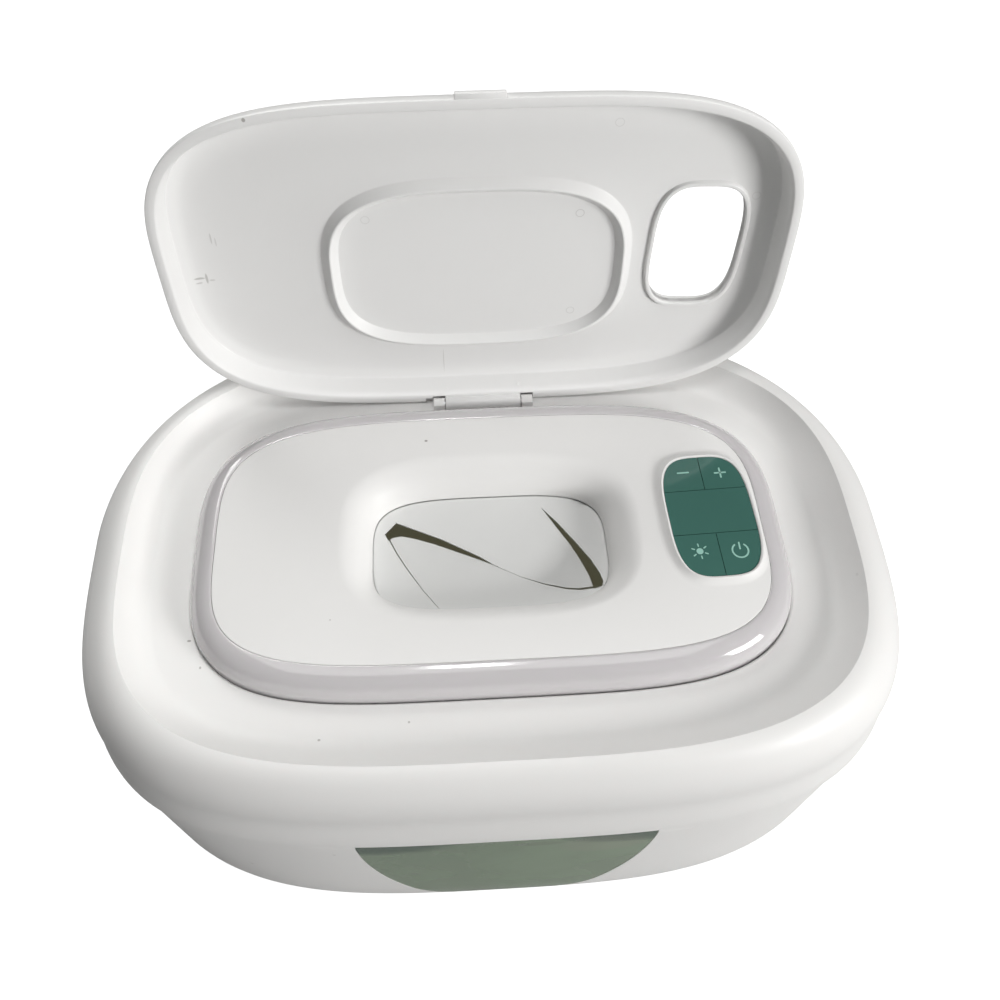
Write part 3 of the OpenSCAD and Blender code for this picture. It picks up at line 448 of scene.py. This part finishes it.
def cover_levels():
    levels = [(WIDE, FLARE - 1.0, SEAM_Z), (WIDE, FLARE - 0.25, SEAM_Z + 0.12), (WIDE, FLARE, SEAM_Z + 0.5)]
    for i in range(1, 12):
        u = i / 12
        levels.append((WIDE, flare_at(u), mix(SEAM_Z, WIDE_Z, u)))
    for i in range(29):
        q = math.pi / 2 * i / 28
        levels.append((mix(CREASE, WIDE, math.cos(q)), 0, WIDE_Z + (CREASE_Z - WIDE_Z) * math.sin(q)))
    for i in range(1, 17):
        u = i / 16
        levels.append((CREASE, -9.5 * u, DECK_Z + (CREASE_Z - DECK_Z) * (1 - u) ** 2))
    for i in range(7):
        q = math.pi / 2 * i / 6
        levels.append((PANEL, 7.9 + 0.9 * (1 - math.sin(q)), DECK_Z - 0.9 * (1 - math.cos(q))))
    ledge = DECK_Z - COVER_LEDGE
    levels += [
        (PANEL, 7.9, ledge), (PANEL, -4, ledge),
        (PANEL, -4, ledge - COVER_WALL), (PANEL, 9.9, ledge - COVER_WALL),
        (CREASE, -8.5, DECK_Z - COVER_WALL), (CREASE, -3.2, DECK_Z + 1.2),
        (mix(CREASE, WIDE, 0.25), -COVER_WALL, DECK_Z + 3.7),
    ]
    for i in range(5):
        q = math.radians(60 * (1 - i / 5))
        z = WIDE_Z + (CREASE_Z - WIDE_Z - COVER_WALL) * math.sin(q)
        levels.append((mix(CREASE, WIDE, math.cos(q)), -COVER_WALL, z))
    for u in (1, 0.5, 0):
        levels.append((WIDE, flare_at(u) - COVER_WALL, mix(SEAM_Z, WIDE_Z, u)))
    return levels


cover = skin("cover_skin", cover_levels(), loop=True)
trough_half = BARREL_HALF + SEAT_GAP
seat_half = trough_half + KNUCKLE_WIDE
axis_at = (0, AXIS_Y, AXIS_Z)
trough = drum("trough", 2.6, HINGE_X - trough_half, HINGE_X + trough_half, centre=axis_at, edge=0.0)
leaf_pocket = block("leaf_pocket", (-14.1, POCKET_Y, SEAM_Z - 2), (14.1, REAR_Y, SEAM_Z + 8.6), 0)
cover = boolean(cover, [trough, leaf_pocket], "DIFFERENCE")


def across_axis(y, z, x):
    """Places a profile drawn round the lid's axis, at x."""
    return (x, AXIS_Y + y, AXIS_Z + z)


knuckle = [(-KNUCKLE_R, -4.0), (KNUCKLE_R, -4.0)] + arc(0, 0, KNUCKLE_R, KNUCKLE_R, 0, 120, 12)
knuckle += [(-1.9, 1.75), (-2.2, 1.3)]
hinge_parts = []
for side in (-1, 1):
    a, b = sorted((HINGE_X + side * trough_half, HINGE_X + side * seat_half))
    hinge_parts.append(prism("knuckle", knuckle, a, b, across_axis))
seat_low = (HINGE_X - seat_half, AXIS_Y - 3.4, 112.6)
seat_high = (HINGE_X + seat_half, AXIS_Y + 3.6, 114.3)
hinge_parts.append(block("seat_floor", seat_low, seat_high, 0))
cover_shell = join("cover_moulding", [cover] + hinge_parts)
paint(cover_shell, "shell_white")
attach(cover_shell, "cover")
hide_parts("cover_shell")


# light ring
def ring_levels():
    spring = DECK_Z + 1.5
    levels = [(PANEL, 5.5, DECK_Z - 2.2), (PANEL, 7.5, DECK_Z - 2.2), (PANEL, 7.5, spring)]
    for x, z in arc(0, spring, 7.5, PANEL_Z - spring, 0, 88, 20)[1:]:
        levels.append((PANEL, max(x, 0.1), z))
    levels += [(PANEL, 0.03, PANEL_Z - 0.12), (PANEL, 0.03, PANEL_Z - 2)]
    for x, z in reversed(arc(0, spring, 5.5, PANEL_Z - spring - 2, 0, 85, 8)):
        levels.append((PANEL, max(x, 0.2), z))
    return levels


ring = skin("ring_diffuser", ring_levels(), loop=True)
paint(ring, "ring_clear")
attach(ring, "cover")
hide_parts("light_ring")


# top panel
def funnel(u):
    """Outline and height of the funnel, from its upper edge (0) to the mouth (1)."""
    return mix(RECESS, MOUTH, 1 - (1 - u) ** 1.6), PANEL_Z + (MOUTH_Z - PANEL_Z) * u ** 1.8


def panel_levels():
    levels = [(PANEL, -0.05, LEDGE_Z), (PANEL, -0.05, PANEL_Z - 0.3)]
    for x, z in arc(-0.35, PANEL_Z - 0.3, 0.3, 0.3, 20, 90, 3):
        levels.append((PANEL, x, z))
    for i in range(29):
        line, z = funnel(i / 28)
        levels.append((line, 0.0, z))
    levels += [(MOUTH, -0.12, MOUTH_Z - 0.25), (MOUTH, -0.12, MOUTH_Z - 1.2), (MOUTH, 2, MOUTH_Z - 1.2)]
    for i in range(1, 5):
        line, z = funnel(1 - i / 5)
        levels.append((line, 2, min(z - 1, PANEL_Z - 2.01)))
    levels += [(RECESS, 2, PANEL_Z - 2), (PANEL, -2.2, PANEL_Z - 2), (PANEL, -2.2, LEDGE_Z)]
    return levels


def bezel_levels():
    levels = [(GLASS, 4.2, PANEL_Z - 0.5), (GLASS, 3.9, PANEL_Z - 0.02), (GLASS, 3.5, PANEL_Z + 0.02)]
    for i in range(1, 15):
        up = math.sin(math.pi / 2 * i / 14)
        levels.append((GLASS, 3.3 * (1 - up) + 0.75 * up, PANEL_Z + 1.3 * up ** 1.6))
    levels += [(GLASS, 0.45, PANEL_Z + 1.28), (GLASS, 0.2, PANEL_Z + 1.15)]
    levels += [(GLASS, 0.1, PANEL_Z + 0.95), (GLASS, 0.1, PANEL_Z - 0.5)]
    return levels


panel = skin("panel_skin", panel_levels(), loop=True)
hole = prism("hole", rim(GLASS, 0.1, 128), PANEL_Z - 3.5, PANEL_Z + 3, at_glass)
panel = boolean(panel, [hole], "DIFFERENCE")
bezel = skin("bezel", bezel_levels(), loop=True, n=160, place=at_glass)
keep = prism("keep", rim(PANEL, -0.6, 160), PANEL_Z - 0.6, PANEL_Z + 4)
bezel = boolean(bezel, [keep], "INTERSECT")
shelf_levels = [
    (GLASS, 0.3, PANEL_Z - 2), (GLASS, 0.3, PANEL_Z - 1),
    (GLASS, -1.6, PANEL_Z - 1), (GLASS, -1.6, PANEL_Z - 2),
]
shelf = skin("shelf", shelf_levels, loop=True, n=96, place=at_glass)
panel = join("panel_moulding", [panel, bezel, shelf])
paint(panel, "panel_white")
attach(panel, "cover")
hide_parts("top_panel")


# dispensing flap, in places from the middle of the mouth
FLAP_LOW, FLAP_HIGH = [v[2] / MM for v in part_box("dispensing_flap")]
LEFT_GAP = [
    (-33.0, 8.4), (-29.4, 12.4), (-15.2, 5.7), (-3.6, -1.1), (2.4, -5.4), (-3.6, -2.5),
    (-9.8, 0.3), (-17.2, 3.6), (-23.4, 5.9), (-27.8, 7.1), (-30.7, 6.6), (-31.7, 5.7),
]
RIGHT_GAP = [
    (17.2, 15.7), (21.9, 9.9), (26.9, 2.7), (31.2, -4.0), (33.5, -9.0), (34.2, -11.8),
    (33.7, -13.5), (31.3, -14.3), (30.5, -10.3), (28.6, -5.3), (25.5, 1.3), (21.7, 7.7),
]
LONG_SLIT = [(2.0, -5.1), (9.0, -9.1), (16.1, -12.1), (22.7, -14.0), (27.0, -14.5), (32.4, -13.9)]
SHORT_SLIT = [(-31.5, 6.0), (-29.3, 1.2), (-26.1, -4.5), (-21.5, -11.8), (-16.6, -18.4)]

# middle lines of the two gaps, which part the front tongue, the rear leaf and the fixed rim
GAP_MIDDLE = [
    (-32.0, 7.2), (-30.0, 9.0), (-27.8, 9.4), (-23.4, 7.7), (-17.2, 5.1), (-9.8, 1.4), (-3.6, -1.8),
] + LONG_SLIT
END_MIDDLE = [
    (32.4, -14.2), (32.5, -11.8), (31.8, -9.0), (29.6, -4.0), (25.8, 2.7), (21.2, 9.9), (17.2, 15.7), (60.0, 15.8),
]


def ribbon(points, wide):
    """Outline of a band of even width along a line of points."""
    sides = ([], [])
    for k, (x, y) in enumerate(points):
        x0, y0 = points[max(k - 1, 0)]
        x1, y1 = points[min(k + 1, len(points) - 1)]
        size = math.hypot(x1 - x0, y1 - y0)
        nx, ny = (y0 - y1) / size * wide / 2, (x1 - x0) / size * wide / 2
        sides[0].append((x + nx, y + ny))
        sides[1].append((x - nx, y - ny))
    return sides[0] + sides[1][::-1]


def ease(v, low, high):
    """A soft step from 0 at low to 1 at high."""
    u = min(1, max(0, (v - low) / (high - low)))
    return u * u * (3 - 2 * u)


def on_line(points, v, known):
    """The other coordinate of a line of points, where its coordinate number known is v."""
    return float(np.interp(v, [p[known] for p in points], [p[1 - known] for p in points]))


def flap_sag(x, y):
    """How far the flap hangs below flat: the front tongue at its free left end, the rear leaf at its right one."""
    line = on_line(GAP_MIDDLE, x, 0)
    beside = on_line(SHORT_SLIT[::-1], y, 1)
    past = on_line(END_MIDDLE, y, 1)
    if y < line and beside < x < 31.6:
        return 1.8 * ease(y, -19, 8) * ease(-x, -30, 26)
    if y >= line and x < past:
        return 3.2 * ease(0.78 * x - 0.62 * y, 7, 31)
    return 0.0


def flap_plate():
    """The flap's plate with a groove along the mouth, cut by its slits and gaps and let sag."""
    across, along, middle = MOUTH[:2], MOUTH[2:4], MOUTH[4]
    thin, high = FLAP_HIGH - 0.5, FLAP_HIGH
    lines = [(across[0] * k / 26, across[1] * k / 26) + along + (middle,) for k in range(1, 26)]
    levels = [(line, 0, thin) for line in lines]
    levels += [(MOUTH, -0.7, thin), (MOUTH, -0.6, FLAP_LOW), (MOUTH, 5.2, FLAP_LOW)]
    levels += [(MOUTH, 5.2, high), (MOUTH, 0.3, high), (MOUTH, 0.25, high - 0.6)]
    levels += [(MOUTH, -0.4, high - 0.6), (MOUTH, -0.45, high)]
    levels += [(line, 0, high) for line in lines[::-1]]
    plate = skin("slit_flap", levels)
    cuts = []
    for points in (LEFT_GAP, RIGHT_GAP, ribbon(LONG_SLIT, 0.1), ribbon(SHORT_SLIT, 0.16)):
        spots = [(x, y + middle) for x, y in points]
        cuts.append(prism("cut", spots, FLAP_LOW - 2, FLAP_HIGH + 2))
    plate = boolean(plate, cuts, "DIFFERENCE")
    for v in plate.data.vertices:
        down = flap_sag(v.co.x / MM, v.co.y / MM - middle)
        v.co.y += 0.67 * down * MM
        v.co.z -= down * MM
    smooth(plate, 40)
    return plate


flap = flap_plate()
paint(flap, "flap_grey")
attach(flap, "cover")
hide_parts("dispensing_flap")


# flip lid, drawn closed; a slope is a side of the rib: push from the rib's outline and drop from the ceiling
RIM_Z = AXIS_Z + 1.2
SPRING_Z = 119.0
CEIL_Z = 127.8
TOP_Z = 130.2
CROWN_Z = 130.8
INNER_SLOPE = [(-3.1, 0.04), (-2.9, 0.25), (-2.0, 1.35), (-1.3, 2.1), (-1.15, 2.3)]
OUTER_SLOPE = [(-0.05, 2.3), (0.1, 2.1), (0.9, 1.3), (1.9, 0.25), (2.15, 0.04), (2.4, 0.0)]


def lid_levels():
    middle = (RIB[0] * 0.6, RIB[1] * 0.45, 2.6, 2.6, RIB[4])
    levels = [(middle, 0, CEIL_Z), (mix(middle, RIB, 0.6), -2.0, CEIL_Z), (RIB, -3.4, CEIL_Z)]
    levels += [(RIB, x, CEIL_Z - drop) for x, drop in INNER_SLOPE]
    levels += [(RIB, x, z) for x, z in arc(-0.6, CEIL_Z - 2.3, 0.5, 0.4, 200, 340, 6)]
    levels += [(RIB, x, CEIL_Z - drop) for x, drop in OUTER_SLOPE]
    levels += [(mix(RIB, PANEL, 0.5), 0, CEIL_Z), (PANEL, -1.0, CEIL_Z)]
    levels += [(PANEL, 3.0, CEIL_Z - 0.12), (PANEL, 5.4, CEIL_Z - 0.6), (PANEL, 6.9, CEIL_Z - 1.4)]
    for x, z in reversed(arc(7.1, CEIL_Z - 2.3, 0.8, 0.8, 8, 70, 5)):
        levels.append((PANEL, x, z))
    levels += [(PANEL, 8.5, RIM_Z + 2.5), (PANEL, 9.1, RIM_Z + 0.5), (PANEL, 9.4, RIM_Z + 0.12), (PANEL, 9.7, RIM_Z)]
    levels += [(PANEL, LID_PUSH - 0.5, RIM_Z), (PANEL, LID_PUSH - 0.15, RIM_Z + 0.12), (PANEL, LID_PUSH, RIM_Z + 0.5)]
    for i in range(19):
        q = math.pi / 2 * i / 18
        levels.append((PANEL, LID_PUSH - 14 * (1 - math.cos(q)), SPRING_Z + (TOP_Z - SPRING_Z) * math.sin(q)))
    levels += [(mix(PANEL, CAP, 0.5), -1.7 * 0.5, TOP_Z + 0.45), (CAP, 0, CROWN_Z)]
    return levels


def collar_levels():
    levels = [(GLASS, 0.5, CEIL_Z + 1.5), (GLASS, 0.5, CEIL_Z - 0.8)]
    levels += [(GLASS, x, z) for x, z in arc(1.0, CEIL_Z - 0.8, 0.5, 0.35, 180, 270, 4)]
    levels += [(GLASS, x, z) for x, z in arc(1.4, CEIL_Z - 0.8, 0.5, 0.35, 270, 350, 4)]
    levels += [(GLASS, 2.05, CEIL_Z - 0.15), (GLASS, 2.2, CEIL_Z + 0.03), (GLASS, 2.2, CEIL_Z + 1.5)]
    return levels


lid = skin("lid_skin", lid_levels())
hole = prism("hole", rim(GLASS, 0.5, 128), CEIL_Z - 4, CROWN_Z + 3, at_glass)
notches = []
for r, a, b in ((3.0, -17.1, -BARREL_HALF), (3.0, BARREL_HALF, 17.1), (2.3, -19.4, -16.8)):
    notches.append(drum("notch", r, HINGE_X + a, HINGE_X + b, centre=axis_at, edge=0.0))
lid = boolean(lid, [hole] + notches, "DIFFERENCE")
collar = skin("collar", collar_levels(), loop=True, n=128, place=at_glass)
barrel_low, barrel_high = HINGE_X - BARREL_HALF, HINGE_X + BARREL_HALF
barrel = drum("barrel", BARREL_R, barrel_low, barrel_high, centre=axis_at, edge=0.2)
arm = block("arm", (barrel_low, AXIS_Y - 2.3, AXIS_Z), (barrel_high, AXIS_Y - 0.2, AXIS_Z + 3.2), 0.15)
gussets = []
ribs = [(s * 12.35, 0.9, 4.5, 4.4) for s in (-1, 1)] + [(x, 0.7, 3.4, 3.2) for x in (-6.7, -0.4, 6.1)]
for x, wide, high, deep in ribs:
    a, b = HINGE_X + x - wide / 2, HINGE_X + x + wide / 2
    gussets.append(prism("gusset", [(-1, 0), (-1, high), (-deep, high)], a, b, across_axis))
front_y = PANEL_Y - PANEL[1] - LID_PUSH
tab_low = (TAB_X - TAB_HALF, front_y - 1.6, RIM_Z + 0.2)
tab_high = (TAB_X + TAB_HALF, front_y + 1, RIM_Z + 2.0)
tab = block("tab", tab_low, tab_high, 0.35)
lid = join("lid_moulding", [lid, collar, barrel, arm, tab] + gussets)
swing(lid)
paint(lid, "lid_white")
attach(lid, "lid")
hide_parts("flip_lid")


# base shell and viewing window
def base_line(s):
    """The base's outline, from the seam (0) down to the turn (1)."""
    return mix(BASE_TOP, BASE_LOW, s)


def base_outer(q):
    """How far the soft turn has drawn in at an angle."""
    return 20 * (1 - math.cos(q)) ** 1.15


def base_side(push, low_q=90, steps=14):
    """Levels from the soft turn at the bottom up to the seam, on the wall's face."""
    levels = []
    for i in range(steps + 1):
        q = math.radians(low_q * (1 - i / steps))
        z = TURN_Z - (TURN_Z - FLOOR_Z) * math.sin(q)
        levels.append((mix(BASE_LOW, base_line(0.85), i / steps), push - base_outer(q), z))
    for i in range(1, 9):
        u = i / 8
        levels.append((base_line(mix(0.85, 0, u)), push, mix(TURN_Z, SEAM_Z - 0.7, u)))
    return levels


base_levels = [(BASE_LOW, -38, FLOOR_Z + 2.4), (BASE_LOW, -30, FLOOR_Z + 2.4), (BASE_LOW, -30, FLOOR_Z)]
base_levels += base_side(0)
base_levels += [
    (BASE_TOP, -0.3, SEAM_Z - 0.3), (BASE_TOP, -BASE_WALL, SEAM_Z - 0.3),
    (BASE_TOP, -BASE_WALL, SEAM_Z + 3.1), (BASE_TOP, -2.8, SEAM_Z + 3.5),
    (BASE_TOP, -5.2, SEAM_Z + 3.5), (BASE_TOP, -5.2, SEAM_Z - 3), (base_line(0.1), -2.6, SEAM_Z - 7),
    (base_line(0.5), -BASE_WALL, 56.6), (base_line(0.85), -2.5, TURN_Z),
]
for i in (1, 2, 3):
    q = math.radians(22.5 * i)
    base_levels.append((BASE_LOW, -BASE_WALL - base_outer(q), TURN_Z - (TURN_Z - INSIDE_Z) * math.sin(q)))
base_levels.append((BASE_LOW, -38, INSIDE_Z))
base = skin("base_skin", base_levels, loop=True)

WINDOW_X = 0.8
WINDOW_HALF = 45
WINDOW_DROP = 69
WINDOW_TOP = SEAM_Z - 0.29


def window_shape(name, grow, top):
    """A block through the front wall with the window's half round outline."""
    pts = []
    for i in range(65):
        q = math.pi + math.pi * i / 64
        x = WINDOW_X + (WINDOW_HALF + grow) * math.cos(q)
        z = WINDOW_TOP + (WINDOW_DROP + grow) * math.sin(q)
        pts.append((x, min(z, top)))
    return prism(name, pts, -120, -20, lambda x, z, y: (x, y, z))


def wall_band(name, depth, proud):
    """The base's wall from proud of its face to a depth behind it."""
    outer = base_side(proud, 62, 12)
    inner = list(reversed(base_side(-depth, 62, 12)))
    top = [(BASE_TOP, proud, WINDOW_TOP), (BASE_TOP, -depth, WINDOW_TOP)]
    return skin(name, outer + top + inner, loop=True)


rebate = boolean(wall_band("rebate", 1.4, 2), [window_shape("w", 0, SEAM_Z)], "INTERSECT")
through = window_shape("through", -3, SEAM_Z - 3.3)
base = boolean(base, [rebate, through], "DIFFERENCE")
bore = drum("bore", INLET_R, BODY_Y + 72, BODY_Y + 92, axis="Y", centre=(INLET_X, 0, INLET_Z), edge=0.0, n=96)
pocket = block("pocket", (-POCKET_HALF, BODY_Y + 89.2, 67.9), (POCKET_HALF, REAR_Y, SEAM_Z + 1), 0)
base = boolean(base, [bore, pocket], "DIFFERENCE")
base.name = "base_moulding"
paint(base, "shell_white")
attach(base, "base")
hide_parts("base_shell")

window = boolean(wall_band("pane", 1.3, 0), [window_shape("w", -0.25, SEAM_Z - 0.4)], "INTERSECT")
window.name = "window_pane"
paint(window, "window_green")
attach(window, "base")
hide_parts("view_window")


# icons on the keys
def icon_bar(x, y, w, h, turn=0.0):
    """A bar with round ends."""
    c, s = math.cos(turn), math.sin(turn)
    pts = []
    for i in range(16):
        q = 2 * math.pi * i / 16
        ex = (w - h) / 2 if math.cos(q) > 0 else -(w - h) / 2
        px, py = ex + h / 2 * math.cos(q), h / 2 * math.sin(q)
        pts.append((x + c * px - s * py, y + s * px + c * py))
    return prism("icon", pts, ICON_LOW, ICON_HIGH, sharp=30)


def icon_arc(x, y, r, w, a0, a1):
    outer, inner = [arc(x, y, r + side * w / 2, r + side * w / 2, a0, a1, 40) for side in (1, -1)]
    return prism("icon", outer + inner[::-1], ICON_LOW, ICON_HIGH)


def icon(name, parts, body):
    obj = join(name, parts)
    paint(obj, "icon_mint")
    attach(obj, body)


SIGN_WIDE, SIGN_LINE = 3.9, 0.55
MINUS_AT = (62.0, BODY_Y + 8.4)
PLUS_AT = (73.7, BODY_Y + 7.9)
SUN_AT = (62.5, BODY_Y - 19.9)
POWER_AT = (74.7, BODY_Y - 20.2)
SUN_WIDE = 2.1
icon("icon_minus", [icon_bar(*MINUS_AT, SIGN_WIDE, SIGN_LINE, GLASS_TURN)], "minus")
icon("icon_plus", [icon_bar(*PLUS_AT, SIGN_WIDE, SIGN_LINE, GLASS_TURN + turn) for turn in (0, math.pi / 2)], "plus")
sun = [icon_bar(*SUN_AT, SUN_WIDE, SUN_WIDE)]
for k in range(6):
    q = math.radians(97 + 60 * k)
    ray_at = (SUN_AT[0] + SUN_WIDE * math.cos(q), SUN_AT[1] + SUN_WIDE * math.sin(q))
    sun.append(icon_bar(*ray_at, 1.15, 0.4, q))
icon("icon_light", sun, "light")
stem = icon_bar(POWER_AT[0], POWER_AT[1] + 1.6, 2.6, 0.5, math.pi / 2)
icon("icon_power", [icon_arc(*POWER_AT, 2.4, 0.5, 122, 418), stem], "power")

# floor, light and camera
floor = bpy.data.meshes.new("floor")
far = 6.0
floor.from_pydata([(-far, -far, 0), (far, -far, 0), (far, far, 0), (-far, far, 0)], [], [(0, 1, 2, 3)])
floor_obj = bpy.data.objects.new("floor", floor)
bpy.context.scene.collection.objects.link(floor_obj)
floor_mat = bpy.data.materials.new("floor")
floor_mat.use_nodes = True
# the floor is grey to the light it sends back, and white only where the camera sees it
nt = floor_mat.node_tree
bsdf = nt.nodes["Principled BSDF"]
bsdf.inputs["Base Color"].default_value = (0.5, 0.5, 0.5, 1)
bsdf.inputs["Roughness"].default_value = 0.9
path = nt.nodes.new("ShaderNodeLightPath")
glow = nt.nodes.new("ShaderNodeMath")
glow.operation = "MAXIMUM"
nt.links.new(path.outputs["Is Camera Ray"], glow.inputs[0])
nt.links.new(path.outputs["Is Transmission Ray"], glow.inputs[1])
scale = nt.nodes.new("ShaderNodeMath")
scale.operation = "MULTIPLY"
scale.inputs[1].default_value = 0.85
nt.links.new(glow.outputs[0], scale.inputs[0])
bsdf.inputs["Emission Color"].default_value = (1, 1, 1, 1)
nt.links.new(scale.outputs[0], bsdf.inputs["Emission Strength"])
floor.materials.append(floor_mat)

world = bpy.data.worlds.new("studio")
bpy.context.scene.world = world
world.use_nodes = True
wt = world.node_tree
back = wt.nodes["Background"]
white = wt.nodes.new("ShaderNodeBackground")
white.inputs["Color"].default_value = (1, 1, 1, 1)
white.inputs["Strength"].default_value = 1.0
back.inputs["Color"].default_value = (1.0, 1.0, 1.0, 1)
back.inputs["Strength"].default_value = 0.02
wmix = wt.nodes.new("ShaderNodeMixShader")
wpath = wt.nodes.new("ShaderNodeLightPath")
wt.links.new(wpath.outputs["Is Camera Ray"], wmix.inputs[0])
wt.links.new(back.outputs[0], wmix.inputs[1])
wt.links.new(white.outputs[0], wmix.inputs[2])
wt.links.new(wmix.outputs[0], wt.nodes["World Output"].inputs["Surface"])


AIM = Vector((0, 0, 0.1))


def area(name, place, size, power, color):
    """A rectangular light at a place in metres, turned to the part."""
    data = bpy.data.lights.new(name, "AREA")
    data.shape = "RECTANGLE"
    data.size, data.size_y = size
    data.energy = power
    data.color = color
    obj = bpy.data.objects.new(name, data)
    bpy.context.scene.collection.objects.link(obj)
    obj.location = place
    obj.rotation_euler = (AIM - Vector(place)).to_track_quat("-Z", "Y").to_euler()


area("key_front_right", (1.0, -0.8, 0.6), (0.5, 0.4), 15.4, (1.0, 0.995, 0.985))
area("high_back", (-0.4, 0.95, 1.05), (0.6, 0.6), 7.4, (1.0, 1.0, 0.98))
area("ceiling", (0, 0, 1.4), (1.0, 1.0), 5.6, (1.0, 0.995, 0.985))
area("strip_top", (0, 0.06, 1.38), (0.12, 0.3), 1.9, (1, 1, 1))

camera = bpy.data.cameras.new("camera")
camera.lens = 36.0
camera.sensor_width = 36.0
camera.sensor_fit = "HORIZONTAL"
camera.shift_x = 0.01422
camera.shift_y = -0.03454
camera.clip_start = 0.01
cam = bpy.data.objects.new("camera", camera)
bpy.context.scene.collection.objects.link(cam)
az, el, roll, dist = math.radians(-3.38), math.radians(55.99), math.radians(0.29), 0.31862
behind = Vector((math.sin(az) * math.cos(el), -math.cos(az) * math.cos(el), math.sin(el)))
target = Vector((0, 0.01149, 0.125))
fwd = -behind
right = fwd.cross(Vector((0, 0, 1))).normalized()
up = right.cross(fwd)
r_axis = math.cos(roll) * right + math.sin(roll) * up
u_axis = -math.sin(roll) * right + math.cos(roll) * up
cam.matrix_world = Matrix.Translation(target + behind * dist) @ Matrix((r_axis, u_axis, behind)).transposed().to_4x4()
bpy.context.scene.camera = cam
bpy.context.scene.view_settings.view_transform = "Standard"
